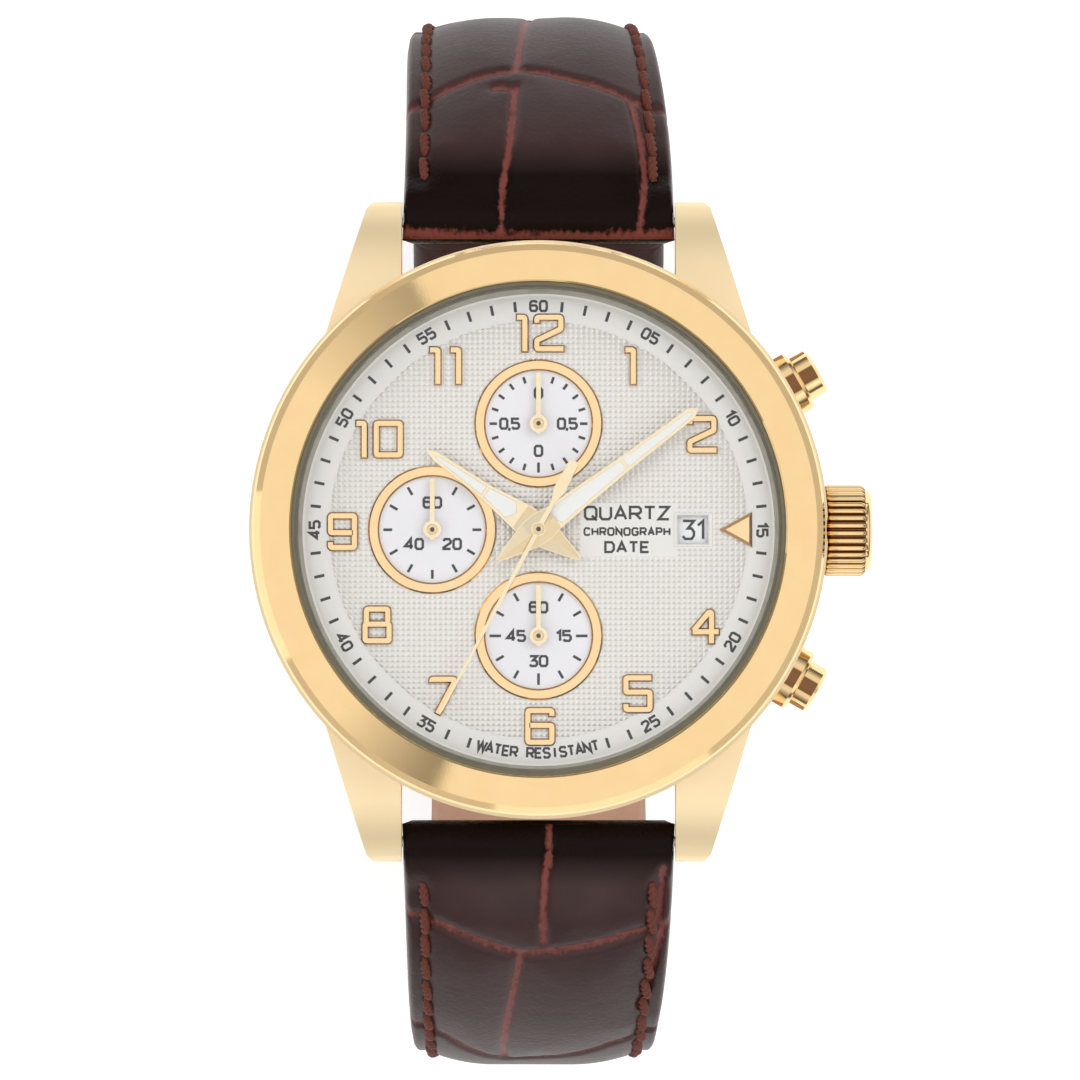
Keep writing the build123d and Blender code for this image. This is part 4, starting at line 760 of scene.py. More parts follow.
points = []
faces = []
for k, path in enumerate(numeral_paths):
    top = DIAL_TOP + NUMERAL_HEIGHT - 0.008 * (k % 2)
    bevelled_stroke(path, NUMERAL_WIDTH, BEVEL, DIAL_TOP, top, points, faces)
k = len(points)
centre_x = (TRIANGLE_TIP + 2 * TRIANGLE_BASE) / 3
for rise, scale in ((0.0, 1.0), (NUMERAL_HEIGHT - BEVEL, 1.0), (NUMERAL_HEIGHT, 0.72)):
    points += [(centre_x + (x - centre_x) * scale, y * scale, DIAL_TOP + rise) for x, y in triangle]
faces += ring_faces(k, 3, 3)
faces.append((k + 6, k + 7, k + 8))
numerals = piece("applied_numerals", points, faces, polished_gold, "case", smooth=False)
# The bevels and sides take a darker gold: painted shade.
bevel_painted_shade_gold = metal("bevel_painted_shade_gold", colour(186, 142, 84), colour(160, 116, 64), 0.12, 0.08)
numerals.data.materials.append(bevel_painted_shade_gold.material)
for face in numerals.data.polygons:
    face.material_index = 0 if abs(face.normal.z) > 0.9 else 1
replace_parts(numerals, "hour_markers")

# ---- Sub-dial rings and hands ---------------------------------------------------------------
# Turned gold rings round the sub-dials. The hands are gold-plated brass: leaf-shaped hour and
# minute hands filled with lume, a fine sweep hand, and a small needle on each sub-dial.
hand_gold = metal("hand_gold", colour(250, 232, 196), colour(238, 214, 168), 0.14, 0.08)
dress(polished_gold, "subdial_rings")
dress(hand_gold, "hour_hand", "minute_hand", "chrono_seconds_hand")
dress(hand_gold, "small_seconds_hand", "chrono_minutes_hand", "tenths_hand")
# A darker gold, painted shade for one facet of each hand and the ring round each arbor dimple.
painted_shade_gold = metal("painted_shade_gold", colour(240, 215, 170), colour(218, 190, 142), 0.16, 0.08)


def tail_facets(name, body, outline, turn, base, ridge):
    """The solid part of a hand, cut to a ridge; one facet is in hand gold, the other in a darker gold as
    painted shade.
    """
    a = math.radians(90 - turn)
    c, s = math.cos(a), math.sin(a)
    points = []
    faces = []
    for x, half in outline:
        for y, z in ((-half, base), (0.0, base + ridge * min(1.0, half / 0.9)), (half, base)):
            points.append((c * x - s * y, s * x + c * y, z))
    for k in range(len(outline) - 1):
        a0, b0 = 3 * k, 3 * k + 3
        faces += [(a0, b0, b0 + 1, a0 + 1), (a0 + 1, b0 + 1, b0 + 2, a0 + 2)]
    made = piece(name, points, faces, hand_gold, body, smooth=False)
    made.data.materials.append(painted_shade_gold.material)
    for k, face in enumerate(made.data.polygons):
        face.material_index = (k + 1) % 2


tail_facets("hour_hand_facets", "hour_hand",
            [(-3.66, 0.12), (-0.9, 0.97), (0.6, 1.04), (1.62, 0.99)], -54.55, 8.452, 0.2)
tail_facets("minute_hand_facets", "minute_hand",
            [(-3.7, 0.12), (-0.8, 1.0), (0.3, 1.08), (1.42, 0.9)], 52.8, 8.952, 0.18)


# An arbor end's profile: the share of its radius, and the height there.
PIN_PROFILE = [(1.0, 0.0), (1.0, 0.05), (0.86, 0.08), (0.55, 0.06), (0.42, 0.02), (0.3, 0.06), (0.05, 0.08)]
PIN_SIDES = 24


def pin(name, body, x, y, z, radius):
    """A turned arbor end: a dark dimpled pin inside a polished collar, whose inner slope is a darker gold
    as painted shade.
    """
    points = []
    for r, level in PIN_PROFILE:
        for k in range(PIN_SIDES):
            a = 2 * math.pi * k / PIN_SIDES
            points.append((x + radius * r * math.cos(a), y + radius * r * math.sin(a), z + level))
    faces = ring_faces(0, len(PIN_PROFILE), PIN_SIDES)
    faces.append(tuple(range(len(points) - PIN_SIDES, len(points))))
    made = piece(name, points, faces, hand_gold, body)
    made.data.materials.append(painted_shade_gold.material)
    made.data.materials.append(pin_dark.material)
    for face in made.data.polygons:
        reach = math.dist((face.center.x / MM, face.center.y / MM), (x, y)) / radius
        face.material_index = 2 if reach < 0.45 else (1 if reach < 0.7 else 0)
    return made


pin_dark = metal("pin_dark", colour(92, 60, 34), colour(66, 42, 24), 0.3, 0.1)
pin("sweep_pin", "chrono_seconds_hand", 0, 0, 9.441, 0.42)
pin("tenths_pin", "tenths_hand", 0, 7.8, 8.171, 0.4)
pin("chrono_minutes_pin", "chrono_minutes_hand", -7.8, 0, 8.171, 0.4)
pin("small_seconds_pin", "small_seconds_hand", 0, -7.8, 8.171, 0.4)
lume = matte("lume_fill", colour(250, 250, 247), colour(234, 234, 228), 0.07, 0.6, 0.2, relief=0.006)
dress(lume, "hour_hand_lume", "minute_hand_lume")

# ---- Crown and pushers ----------------------------------------------------------------------
# A knurled crown on a tube with a rubber seal, and two round pushers in screwed collars, all
# plated like the case; the stem, springs and clips inside are bare steel.
CROWN_START = 20.95
CROWN_Z = 4.9
CROWN_FLUTES = 36
FLUTE_DEPTH = 0.38
COIL_START = 21.05
COIL_END = 22.95
COIL_R = 0.92
COIL_WIRE_R = 0.1
COIL_TURNS = 5
COIL_STEPS = 32

# The crown's profile: how far out, its radius there, and the share of the flutes' depth.
CROWN_PROFILE = [
    (0, 2.0, 0), (0, 3.05, 0.2), (0.12, 3.25, 0.9), (0.3, 3.36, 1), (2.8, 3.36, 1), (3.0, 3.25, 0.9),
    (3.1, 3.1, 0.3), (3.12, 3.0, 0), (3.3, 3.0, 0), (3.48, 2.86, 0), (3.6, 2.3, 0), (3.67, 1.2, 0),
    (3.69, 0.05, 0),
]
points = []
around = CROWN_FLUTES * 12
for out, r, fluted in CROWN_PROFILE:
    for k in range(around):
        a = 2 * math.pi * k / around
        cut = FLUTE_DEPTH * fluted * abs(math.cos(a * CROWN_FLUTES / 2)) ** 5
        points.append((CROWN_START + out, (r - cut) * math.cos(a), CROWN_Z + (r - cut) * math.sin(a)))
faces = ring_faces(0, len(CROWN_PROFILE), around)
faces.append(tuple(range(len(points) - around, len(points))))
crown_gold = metal("crown_gold", GOLD, GOLD_DEEP, 0.06, 0.05, scratch=0.0008)
crown_x = crown_gold.add("SeparateXYZ", inputs={"Vector": crown_gold.place})
from_axis = {0: crown_gold.place, 1: (0, 0, CROWN_Z)}
off_axis = crown_gold.add("VectorMath", {"operation": "SUBTRACT"}, from_axis)
off_axis = crown_gold.add("VectorMath", {"operation": "MULTIPLY"}, {0: off_axis, 1: (0, 1, 1)})
reach = crown_gold.add("VectorMath", {"operation": "LENGTH"}, {0: off_axis}, output=1)
# The flute valleys are blended towards dark brown as painted shade.
flute_painted_shade = crown_gold.math("MULTIPLY", 3.31 - reach, 5.5, clamp=True) * (crown_x < CROWN_START + 3.1)
crown_gold.give({"Base Color": crown_gold.blend(crown_gold.tone, colour(112, 66, 32), flute_painted_shade * 0.85)})
crown = piece("crown_knurl", points, faces, crown_gold, "crown")
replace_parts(crown, "crown")
pusher_gold = metal("pusher_gold", GOLD, GOLD_DEEP, 0.05, 0.04, scratch=0.0008)
# Faces seen edge-on from the camera are blended towards dark brown: painted dark reflection streaks.
facing = pusher_gold.add("LayerWeight", inputs={"Blend": 0.5}, output=1)
grazing_painted_reflection = pusher_gold.math("MULTIPLY", 0.055 - facing, 60.0, clamp=True)
pusher_gold.give({"Base Color": pusher_gold.blend(pusher_gold.tone, colour(104, 54, 26), grazing_painted_reflection * 0.9)})
dress(pusher_gold, "start_pusher", "reset_pusher")
dress(pusher_gold, "start_pusher_collar", "reset_pusher_collar")
steel = metal("bare_steel", colour(206, 206, 208), colour(180, 180, 184), 0.22, 0.12)
dress(steel, "crown_tube", "stem", "sliding_pinion", "lug_spring_bars", "buckle_spring_bar")
dress(steel, "start_pusher_clip", "reset_pusher_clip")
dress(steel, "case_back_screws", "battery_clamp", "bridge_screws", "motor_stators")


def pusher_coil(name, bearing, node):
    """A spring round a pusher's stem, made at its full length, though the real one closes up as the pusher
    goes in.
    """
    c, s = math.cos(math.radians(bearing)), math.sin(math.radians(bearing))
    steps = COIL_TURNS * COIL_STEPS
    points = []
    for k in range(steps + 1):
        turn = 2 * math.pi * k / COIL_STEPS
        along = COIL_START + (COIL_END - COIL_START) * k / steps
        for m in range(8):
            a = 2 * math.pi * m / 8
            r = COIL_R + COIL_WIRE_R * math.cos(a)
            out, side = along + COIL_WIRE_R * math.sin(a), r * math.cos(turn)
            points.append((c * out - s * side, s * out + c * side, CROWN_Z + r * math.sin(turn)))
    faces = ring_faces(0, steps + 1, 8, flip=True)
    faces += [tuple(range(8)), tuple(range(8 * steps + 7, 8 * steps - 1, -1))]
    coil = piece(name, points, faces, steel, "case")
    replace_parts(coil, node)
    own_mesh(coil)


pusher_coil("start_pusher_coil", 30, "start_pusher_spring")
pusher_coil("reset_pusher_coil", -30, "reset_pusher_spring")
rubber = matte("seal_rubber", colour(30, 30, 31), colour(48, 47, 46), 0.3, 0.55, 0.2)
dress(rubber, "crown_gasket", "case_back_gasket")

# ---- Movement -------------------------------------------------------------------------------
# A quartz chronograph: a nickel-plated plate and bridge, brass wheels, a green circuit board with
# a battery under a steel clamp, copper motor coils, all in a moulded plastic ring.
plate = metal("nickel_plate", colour(198, 196, 190), colour(172, 170, 164), 0.28, 0.14, scratch=0.006)
dress(plate, "main_plate", "train_bridge")
brass = metal("wheel_brass", colour(226, 196, 120), colour(200, 166, 92), 0.24, 0.12)
dress(brass, "chrono_seconds_wheel", "cannon_pinion", "hour_wheel", "minute_wheel", "third_wheel")
dress(brass, "small_seconds_wheel", "chrono_minutes_wheel", "tenths_wheel")
cell = metal("cell_steel", colour(214, 214, 216), colour(190, 190, 194), 0.18, 0.1, scratch=0.008)
dress(cell, "battery")
board = Paint("board_green", {"IOR": 1.5})
tracks = board.noise(0.9, 1.0)
board.give({
    "Base Color": board.blend(colour(26, 84, 58), colour(48, 112, 76), tracks > 0.52),
    "Roughness": tracks * 0.2 + 0.35,
})
dress(board, "circuit_board")
copper = metal("coil_copper", colour(206, 120, 74), colour(176, 92, 52), 0.3, 0.14, scratch=0.02)
dress(copper, "motor_coils")
moulded = matte("moulded_plastic", colour(226, 224, 216), colour(210, 208, 200), 0.2, 0.45, 0.15,
                relief=0.01)
dress(moulded, "movement_holder")

# ---- Strap leather --------------------------------------------------------------------------
# Two padded halves of glossy dark-brown calf, embossed with large scales and wrapped round the
# spring bars. Each follows the oval of a closed strap: a level is the distance out from the wrist.
OVAL_A = 36.0
OVAL_B = 28.5
BAR_Y = 22.9
BAR_Z = 2.9
BAR_LEVEL = 1.9
LUG_THETA = math.degrees(math.acos(BAR_Y / (OVAL_A + BAR_LEVEL)))
OVAL_Z = BAR_Z - (OVAL_B + BAR_LEVEL) * math.sin(math.radians(LUG_THETA))
LUG_WIDTH = 20.1
UPPER_TAPER = 0.083
LOWER_TAPER = 0.047
TAPER_CHANGE = 24.0
BAR_LOOP_R = 1.6
BUCKLE_THETA = -76.3
BUCKLE_LEVEL = 1.6
BUCKLE_LOOP_R = 1.5
TAIL_END = 328.0
LINING = 1.2
EDGE_SHARE = 0.62
CREASE_DEPTH = 0.34
CREASE_WIDTH = 0.34
ACROSS = 96
STEP = 0.36


def oval(theta, level):
    """The place in the YZ plane at an angle round the oval and a level off it."""
    t = math.radians(theta)
    return (OVAL_A + level) * math.cos(t), OVAL_Z + (OVAL_B + level) * math.sin(t)


def ease(value, start, end):
    share = min(1.0, max(0.0, (value - start) / (end - start)))
    return share * share * (3 - 2 * share)


def strap_half_width(theta, level=2.0):
    down = BAR_Z - oval(theta, level)[1]
    beyond = max(0.0, down - TAPER_CHANGE)
    return (LUG_WIDTH - UPPER_TAPER * (down - beyond) - LOWER_TAPER * beyond) / 2


def lean(theta):
    """How far a half sits to one side where it hangs free between the lugs and the buckle."""
    top_half = -0.7 * ease(theta, 48, 2) * (1 - ease(theta, -4, -36))
    return top_half - 0.38 * ease(theta, 132, 178) * (1 - ease(theta, 184, 214))


def arc_table(start, end, count):
    """Lengths in millimetres along the strap from start, for angles between start and end."""
    angles = np.linspace(start, end, count)
    places = np.array([oval(a, 3.0) for a in angles])
    steps = np.hypot(*np.diff(places, axis=0).T)
    return angles, np.concatenate([[0.0], np.cumsum(steps)])


def upper_top(theta):
    """The outer level of the 12 o'clock half."""
    swell = ease(theta, LUG_THETA, LUG_THETA - 10)
    return 3.5 + 0.8 * swell - 1.4 * ease(theta, 16, -27)


def tail_rise(theta):
    return 3.3 * ease(theta, 266, 281)


def tail_top(theta):
    """The outer level of the 6 o'clock half, which thins towards its tail and climbs over."""
    swell = ease(theta, 180 - LUG_THETA, 190 - LUG_THETA)
    return tail_rise(theta) + 3.5 + 0.8 * swell - 1.7 * ease(theta, 164, 215)


def tail_split(theta):
    return tail_rise(theta) + LINING - 0.2 * ease(theta, 164, 215)


# Creases between the embossed scales, as (x, theta) lines; the 6 o'clock ones are written in
# angles from its own lug side, and both lists go on round the strap at the same spacing.
CREASES_12 = [
    [(-10.2, 35.6), (-6.5, 32.9), (-3.6, 30.6), (-1.3, 29.4), (0.8, 30.2), (3.4, 32.2), (6.9, 34.8),
     (10.2, 35.8)],
    [(0.2, 3.8), (-0.4, 12.0), (-0.9, 20.9), (-1.4, 28.9)],
    [(-1.5, 33.4), (-1.7, 36.0), (-2.0, 42.0), (-2.6, 49.0), (-2.8, 53.6)],
    [(-1.6, 34.0), (-2.6, 33.4), (-3.2, 33.8)],
    [(7.0, 35.0), (7.6, 42.0), (7.9, 48.4), (7.7, 52.0)],
]
CREASES_6 = [
    [(0.8, 54.0), (0.6, 51.0), (0.3, 45.0), (0.4, 40.4)],
    [(-10.2, 43.4), (-7.2, 42.7), (-4.2, 40.7), (-1.3, 38.6), (1.9, 39.3), (6.4, 41.3), (10.2, 41.6)],
    [(-1.3, 38.6), (-1.7, 33.0), (-2.2, 24.0), (-2.4, 15.0), (-2.2, 10.5)],
    [(-10.0, 20.0), (-6.7, 18.3), (-4.0, 13.2), (-2.1, 10.3), (1.9, 12.0), (5.8, 16.7), (10.0, 17.9)],
    [(9.3, 55.0), (9.1, 46.2), (8.9, 42.0)],
    [(9.2, 40.6), (8.4, 32.0), (7.8, 26.3)],
]


def more_creases(first, last, seed):
    """Rows of scales for the rest of a strap, between two angles from its lug side."""
    chance = random.Random(seed)
    rows = []
    row = first
    side = 1
    while row > last:
        dip = chance.uniform(4.0, 6.5)
        middle = chance.uniform(-2.0, 2.0)
        xs = [-10.0, -6.5, -3.0, middle, 3.5, 7.0, 10.0]
        rows.append([(x, row - dip * (1 - min(1, abs(x - middle) / 8) ** 1.4)
                      + chance.uniform(-0.5, 0.5)) for x in xs])
        drift = chance.uniform(-1.2, 1.2)
        rows.append([(middle, row - dip), (middle + drift * 0.4, row - dip - 6),
                     (middle + drift, row - dip - 13), (middle + drift * 1.2, row - dip - 19)])
        rows.append([(side * 7.4, row - 1.0), (side * 7.9, row - 8.0), (side * 7.6, row - 14.0)])
        side = -side
        row -= chance.uniform(20.0, 25.0)
    return rows


def crease_lines(lines, start, mirrored):
    """The creases in millimetres across and along a half, from its start angle."""
    angles, lengths = arc_table(start, start + (200 if mirrored else -200), 400)
    made = []
    for line in lines:
        path = []
        for (ax, a_theta), (bx, b_theta) in zip(line, line[1:]):
            for share in (0, 0.5):
                path.append((ax + (bx - ax) * share, a_theta + (b_theta - a_theta) * share))
        path.append(line[-1])
        thetas = [180 - t if mirrored else t for _, t in path]
        order = np.abs(angles - start)
        along = [float(np.interp(abs(t - start), order, lengths)) for t in thetas]
        made.append([(x, length) for (x, _), length in zip(path, along)])
    return made


leather = Paint("dark_brown_leather", {"IOR": 1.5, "Specular IOR Level": 0.05, "Coat Roughness": 0.3})
crease_mark = leather.add("Attribute", {"attribute_name": "crease"}, output=2)
leather_z = leather.add("SeparateXYZ", inputs={"Vector": leather.place}, output=2)
leather_y = leather.add("SeparateXYZ", inputs={"Vector": leather.place}, output=1)
from_middle = leather.math("ABSOLUTE", leather_y, 0.0)
tone = leather.noise(5.0, 4.0)
wrinkle = leather.noise(0.34, 5.0, leather.stretched(1.0, 0.6, 1.0))
pore = leather.add("TexVoronoi", {"feature": "F1"}, {"Vector": leather.place, "Scale": 3.2})
ground = leather.blend(colour(48, 30, 30), colour(72, 52, 50), tone)
rubbed = leather.blend(ground, colour(92, 50, 45), crease_mark * 0.75)
# Near the lugs the leather is glossier, and its colour is blended almost to black as a painted dark
# reflection.
near_lug_gloss_and_painted_reflection = leather.math("MULTIPLY", leather_y * 0.05 + 27.6 - from_middle, 0.4, clamp=True)
near_lug_gloss_and_painted_reflection = near_lug_gloss_and_painted_reflection * (leather_z > -8.0)
fray = leather.noise(0.8, 3.0)
ragged = leather.math("MULTIPLY", crease_mark + wrinkle * 1.1 + fray * 0.7 - 1.36, 2.4, clamp=True)
painted_dark_reflection = leather.blend(rubbed, colour(17, 7, 5), near_lug_gloss_and_painted_reflection * 0.95)
leather.give({
    "Base Color": leather.blend(painted_dark_reflection, colour(128, 70, 63), ragged),
    "Roughness": 0.36 + wrinkle * 0.2 + crease_mark * 0.2 - near_lug_gloss_and_painted_reflection * 0.16,
    "Coat Weight": 0.34 - near_lug_gloss_and_painted_reflection * 0.3,
})
fold = leather.noise(1.6, 3.0, leather.stretched(0.7, 1.2, 1.2))
leather.bump(wrinkle * 0.7 + pore * 0.15 + fold * 0.8, 0.11)

tan_leather = Paint("tan_lining", {"IOR": 1.5, "Specular IOR Level": 0.35})
nap = tan_leather.noise(0.35, 4.0)
patch = tan_leather.noise(4.0, 3.0)
tan_leather.give({
    "Base Color": tan_leather.blend(colour(206, 168, 146), colour(184, 144, 122), patch * 0.7 + nap * 0.3),
    "Roughness": nap * 0.2 + 0.55,
})
tan_leather.bump(nap, 0.05)


def distance_to(path, x, y):
    """Distance from each point to a polyline."""
    nearest = np.full(len(x), 1e9)
    for (ax, ay), (bx, by) in zip(path, path[1:]):
        length = (bx - ax) ** 2 + (by - ay) ** 2 + 1e-12
        share = np.clip(((x - ax) * (bx - ax) + (y - ay) * (by - ay)) / length, 0, 1)
        nearest = np.minimum(nearest, np.hypot(x - ax - share * (bx - ax), y - ay - share * (by - ay)))
    return nearest


def strap_skin(name, stations, top, bottom, creases, start, paint, crown=True):
    """A closed strap from stations of (theta, scale of thickness, middle level) with a crowned,
    creased top, a flat underside and rounded edges."""
    angles, lengths = arc_table(start, start + (210 if stations[-1][0] > start else -210), 420)
    order = np.abs(angles - start)
    under = 14
    points = []
    crease_values = []
    bunched = np.sin(np.linspace(-math.pi / 2, math.pi / 2, ACROSS))
    spread = bunched * 0.25 + np.linspace(-1, 1, ACROSS) * 0.75
    for theta, squeeze, middle in stations:
        half = strap_half_width(theta) - 0.02
        high, low = top(theta), bottom(theta)
        ahead = (theta - start) * (stations[-1][0] - start) >= 0
        along = float(np.interp(abs(theta - start), order, lengths)) * (1 if ahead else -1)
        xs = spread * half
        inset = half - np.abs(xs)
        square = 1 - ease(abs(theta - start), 1.0, 6.5)
        if crown:
            shoulder = np.clip((inset - 1.0) / 5.2, 0, 1)
            swell = EDGE_SHARE + (1 - EDGE_SHARE) * np.sin(shoulder * math.pi / 2) ** 0.8
            swell = swell - 0.07 * np.exp(-((inset - 1.45) / 0.32) ** 2)
            swell = swell + (1 - swell) * square
        else:
            swell = np.ones(ACROSS)
        turn_in = 0.5 - 0.25 * square
        edge = np.sqrt(np.clip(1 - ((turn_in - np.minimum(inset, turn_in)) / turn_in) ** 2, 0, 1))
        level = low + (high - low) * swell * (0.4 + 0.6 * edge)
        depth = np.zeros(ACROSS)
        if creases:
            near = np.full(ACROSS, 1e9)
            for line in creases:
                if min(s for _, s in line) - 6 < along < max(s for _, s in line) + 6:
                    near = np.minimum(near, distance_to(line, xs, np.full(ACROSS, along)))
            depth = np.exp(-(near / CREASE_WIDTH) ** 2)
            pillow = 1 - np.exp(-(near / 2.4) ** 2)
            level = level - CREASE_DEPTH * depth - 0.16 * (1 - pillow)
        level = middle + (level - middle) * squeeze
        floor_level = middle + (low - middle) * squeeze
        ring = [(x, v) for x, v in zip(xs, level)]
        ring += [(half * (1 - 2 * (k + 0.5) / under), floor_level) for k in range(under)]
        for x, v in ring:
            y, z = oval(theta, v)
            points.append((x + lean(theta), y, z))
        crease_values += list(depth) + [0.0] * under
    count = ACROSS + under
    backwards = stations[-1][0] < start
    faces = ring_faces(0, len(stations), count, flip=not backwards)
    caps = [tuple(range(count)), tuple(range(len(points) - count, len(points)))[::-1]]
    faces += [cap[::-1] for cap in caps] if backwards else caps
    made = piece(name, points, faces, paint, "case")
    marks = made.data.attributes.new("crease", "FLOAT", "POINT")
    marks.data.foreach_set("value", crease_values)
    return made


def stations_between(start, end, nose_radius, nose_level, end_nose=None):
    """Stations along a half, with a rounded nose round the bar before its start."""
    sign = 1 if end > start else -1
    per_degree = math.radians(1) * (OVAL_A + 2) * 0.9
    made = []
    for k in range(9):
        t = math.cos(k / 8 * math.pi / 2)
        reach = math.degrees(nose_radius / (OVAL_A + 2))
        made.append((start - sign * reach * t, max(0.03, math.sqrt(1 - t * t)), nose_level))
    count = int(abs(end - start) * per_degree / STEP)
    for k in range(1, count + 1):
        made.append((start + (end - start) * k / count, 1.0, nose_level))
    if end_nose:
        radius, level = end_nose
        reach = math.degrees(radius / (OVAL_A + 2))
        for k in range(1, 9):
            t = math.sin(k / 8 * math.pi / 2)
            made.append((end + sign * reach * t, max(0.03, math.sqrt(1 - t * t)), level))
    return made


def leather_floor(theta):
    """The inner level of the 12 o'clock leather, which drops round the bars at both ends."""
    at_lug = ease(theta, LUG_THETA - 3, LUG_THETA)
    at_buckle = ease(theta, BUCKLE_THETA + 2.6, BUCKLE_THETA)
    return LINING - (LINING - 0.32) * at_lug - (LINING - 0.12) * at_buckle


def tail_floor(theta):
    at_lug = ease(theta, 180 - LUG_THETA + 3, 180 - LUG_THETA)
    return tail_split(theta) - (LINING - 0.32) * at_lug


stations_12 = stations_between(LUG_THETA, BUCKLE_THETA, BAR_LOOP_R, BAR_LEVEL,
                               (BUCKLE_LOOP_R, BUCKLE_LEVEL))
creases_12 = crease_lines(CREASES_12 + more_creases(8, -62, 5), LUG_THETA, False)
creases_12 += [
    [(-10.0, -1.3), (-6.0, -1.52), (-2.8, -1.6), (1.5, -1.55), (5.0, -1.6), (10.0, -1.4)],
    [(-2.7, 0.6), (-2.8, -1.6)],
    [(7.7, 1.0), (7.5, -1.6)],
]
strap_12 = strap_skin("strap_12_skin", stations_12, upper_top, leather_floor, creases_12, LUG_THETA,
                      leather)
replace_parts(strap_12, "strap_12_leather")
stations_6 = stations_between(180 - LUG_THETA, TAIL_END, BAR_LOOP_R, BAR_LEVEL)
creases_6 = crease_lines(CREASES_6 + more_creases(-10, -140, 9), 180 - LUG_THETA, True)
creases_6.append([(0.8, 1.0), (0.8, -1.5)])
strap_6 = strap_skin("strap_6_skin", stations_6, tail_top, tail_floor, creases_6, 180 - LUG_THETA,
                     leather)
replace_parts(strap_6, "strap_6_leather")

# ---- Strap lining ---------------------------------------------------------------------------
# Soft tan leather glued flat to the underside of each half, stopping short of the spring bars
# so that the loops round them stay thin.
LINING_START = math.degrees((BAR_LOOP_R + 0.15) / (OVAL_A + BAR_LEVEL))
LINING_END = math.degrees((BUCKLE_LOOP_R + 0.15) / OVAL_A)
LINING_STEPS_12 = 150
LINING_STEPS_6 = 240


def lining_skin(name, first, last, steps, top, bottom, start, node):
    """The lining of a half, between two angles."""
    stations = [(first + (last - first) * k / steps, 1.0, LINING / 2) for k in range(steps + 1)]
    skin = strap_skin(name, stations, top, bottom, None, start, tan_leather, crown=False)
    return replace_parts(skin, node)


lining_skin("strap_12_lining_skin", LUG_THETA - LINING_START, BUCKLE_THETA + LINING_END,
            LINING_STEPS_12, lambda t: LINING, lambda t: 0.0, LUG_THETA, "strap_12_lining")
lining_skin("strap_6_lining_skin", 180 - LUG_THETA + LINING_START, TAIL_END, LINING_STEPS_6,
            tail_split, tail_rise, 180 - LUG_THETA, "strap_6_lining")

# ---- Stitching ------------------------------------------------------------------------------
# Reddish-brown waxed thread, three strands twisted together, in one row along each edge of both
# halves; each stitch dips into its holes at both ends.
STITCH_LENGTH = 2.25
STITCH_PITCH = 4.2
STITCH_R = 0.34
STITCH_INSET = 1.5

thread = matte("waxed_thread", colour(122, 58, 38), colour(74, 32, 22), 0.12, 0.5, 0.25, relief=0.03,
               inputs={"IOR": 1.5, "Specular IOR Level": 0.4})


def stitches(name, start, end, top, bottom, paint):
    """A row of twisted stitches along both edges of a half, between two angles."""
    chance = random.Random(3)
    points = []
    faces = []
    sign = 1 if end > start else -1
    turns, around, rings = 1.5, 18, 24
    count = int(abs(end - start) / STITCH_PITCH)
    half_angle = math.degrees(STITCH_LENGTH / 2 / (OVAL_A - 3))
    for side in (-1, 1):
        for n in range(count):
            theta = start + sign * (n + 0.5) * STITCH_PITCH + chance.uniform(-0.25, 0.25)
            reach = strap_half_width(theta) - STITCH_INSET + chance.uniform(-0.06, 0.06)
            x_middle = side * reach + lean(theta)
            slant = chance.uniform(0.05, 0.2)
            k = len(points)
            for r in range(rings):
                t = 2 * r / (rings - 1) - 1
                angle = theta + t * half_angle
                high, low = top(angle), bottom(angle)
                surface = low + (high - low) * (EDGE_SHARE + 0.02) - 0.05
                level = surface + 0.2 * (1 - t * t) ** 0.5 - 0.25 * t ** 6
                taper = (1 - 0.45 * abs(t) ** 4)
                for c in range(around):
                    a = 2 * math.pi * c / around
                    lobe = 0.66 + 0.48 * abs(math.cos(1.5 * a - 3 * math.pi * turns * t / 2))
                    y, z = oval(angle, level + STITCH_R * taper * lobe * math.sin(a))
                    points.append((x_middle + slant * t + STITCH_R * taper * lobe * math.cos(a), y, z))
            faces += ring_faces(k, rings, around)
            faces.append(tuple(range(k, k + around)))
            faces.append(tuple(range(k + (rings - 1) * around, k + rings * around)))
    return piece(name, points, faces, paint, "case")


stitches("strap_12_stitches", LUG_THETA - 4.0, -60.0, upper_top, leather_floor, thread)
stitches("strap_6_stitches", 180 - LUG_THETA + 4.0, 320.0, tail_top, tail_floor, thread)

# ---- Keepers --------------------------------------------------------------------------------
# Two bands of the strap's own leather round both layers: one sewn near the buckle, one that
# slides along the tail.
KEEPER_HALF = 2.3
KEEPER_LOW = -0.3
KEEPER_HIGH = 6.2
KEEPER_THICKNESS = 1.1
KEEPER_GAP = 0.3
KEEPER_CORNER = 0.7


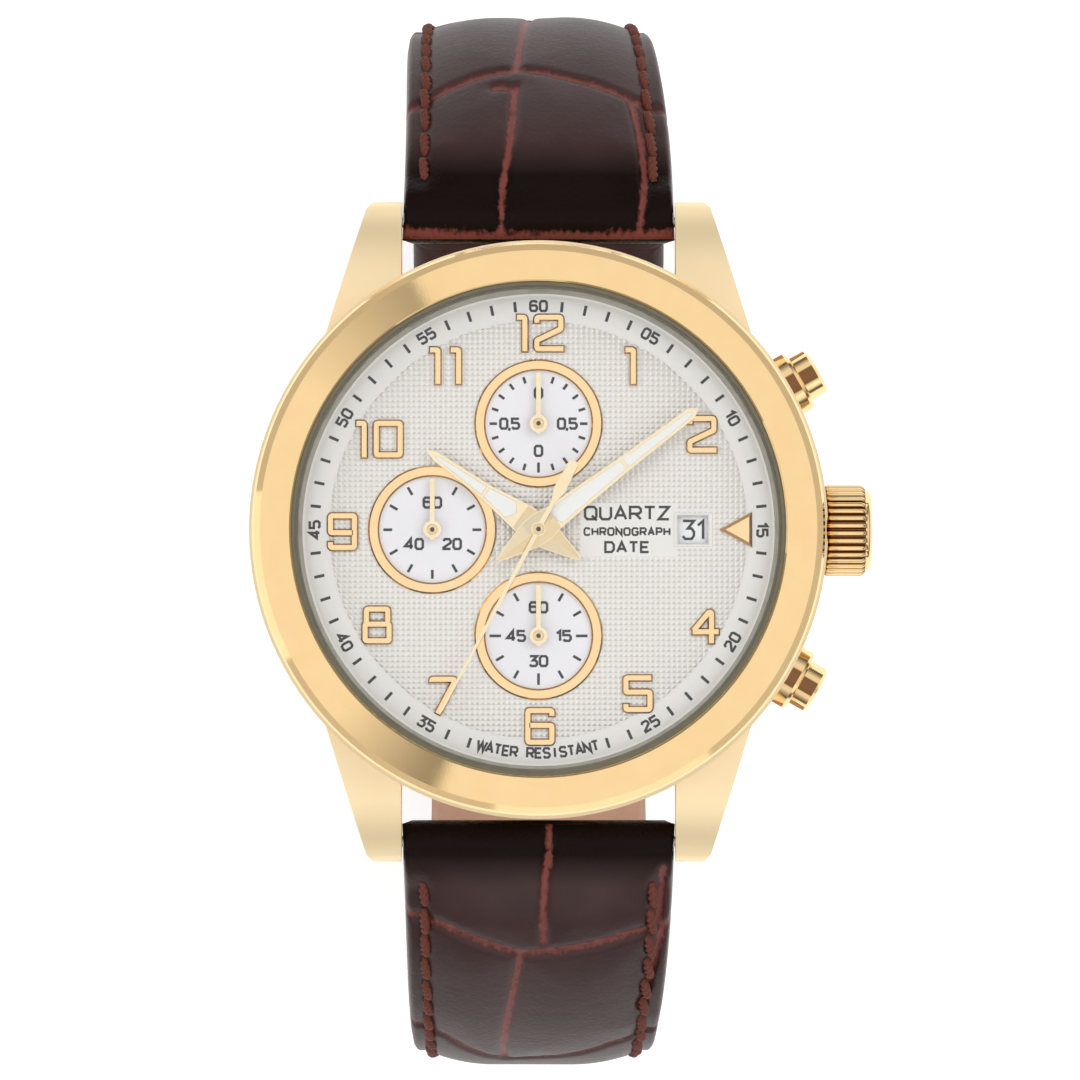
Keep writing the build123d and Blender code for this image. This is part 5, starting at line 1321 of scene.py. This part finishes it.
def keeper(name, theta, body, node):
    """A closed band with soft edges and a raised border along both sides."""
    half_x = strap_half_width(theta) + KEEPER_GAP
    right, high, low = half_x - KEEPER_CORNER, KEEPER_HIGH - KEEPER_CORNER, KEEPER_LOW + KEEPER_CORNER
    loop = []
    for cx, cy, first in ((right, high, 0), (-right, high, 90), (-right, low, 180), (right, low, 270)):
        for k in range(7):
            a = math.radians(first + 15 * k)
            loop.append((cx, cy, math.cos(a), math.sin(a)))
    dense = []
    for (ax, ay, a_nx, a_ny), (bx, by, b_nx, b_ny) in zip(loop, loop[1:] + loop[:1]):
        steps = max(1, int(math.dist((ax, ay), (bx, by)) / 0.6))
        for k in range(steps):
            s = k / steps
            nx, ny = unit(a_nx + (b_nx - a_nx) * s, a_ny + (b_ny - a_ny) * s)
            dense.append((ax + (bx - ax) * s, ay + (by - ay) * s, nx, ny))
    section = []
    for k in range(29):
        u = -1 + 2 * k / 28
        edge = math.sqrt(max(0.0, 1 - max(0.0, (abs(u) - 0.86) / 0.14) ** 2))
        section.append((u, 0.3 + 0.7 * edge - 0.1 * math.exp(-((abs(u) - 0.72) / 0.05) ** 2)))
    section += [(u, 0.0) for u in (0.96, 0.5, 0.0, -0.5, -0.96)]
    points = []
    for x, level, nx, ny in dense:
        for u, out in section:
            reach = KEEPER_CORNER + KEEPER_THICKNESS * out * 0.97
            angle = theta + math.degrees(KEEPER_HALF * u / (OVAL_A + 3)) * 0.98
            y, z = oval(angle, level + ny * reach)
            points.append((x + nx * reach, y, z))
    count, rings = len(section), len(dense)
    faces = []
    for r in range(rings):
        for c in range(count):
            a, b = r * count + c, r * count + (c + 1) % count
            e, d = (a + count) % (count * rings), (b + count) % (count * rings)
            faces.append((a, b, d, e))
    made = piece(name, points, faces, leather, body)
    marks = made.data.attributes.new("crease", "FLOAT", "POINT")
    marks.data.foreach_set("value", [0.0] * len(points))
    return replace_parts(made, node)


keeper("fixed_keeper_band", -65.5, "case", "fixed_keeper")
keeper("free_keeper_band", -50.0, "free_keeper", "free_keeper")

# ---- Buckle ---------------------------------------------------------------------------------
# A plated steel frame and prong, polished like the bezel, on a spring bar of their own in the
# loop at the end of the 12 o'clock half.
dress(polished_gold, "buckle_frame", "buckle_prong")
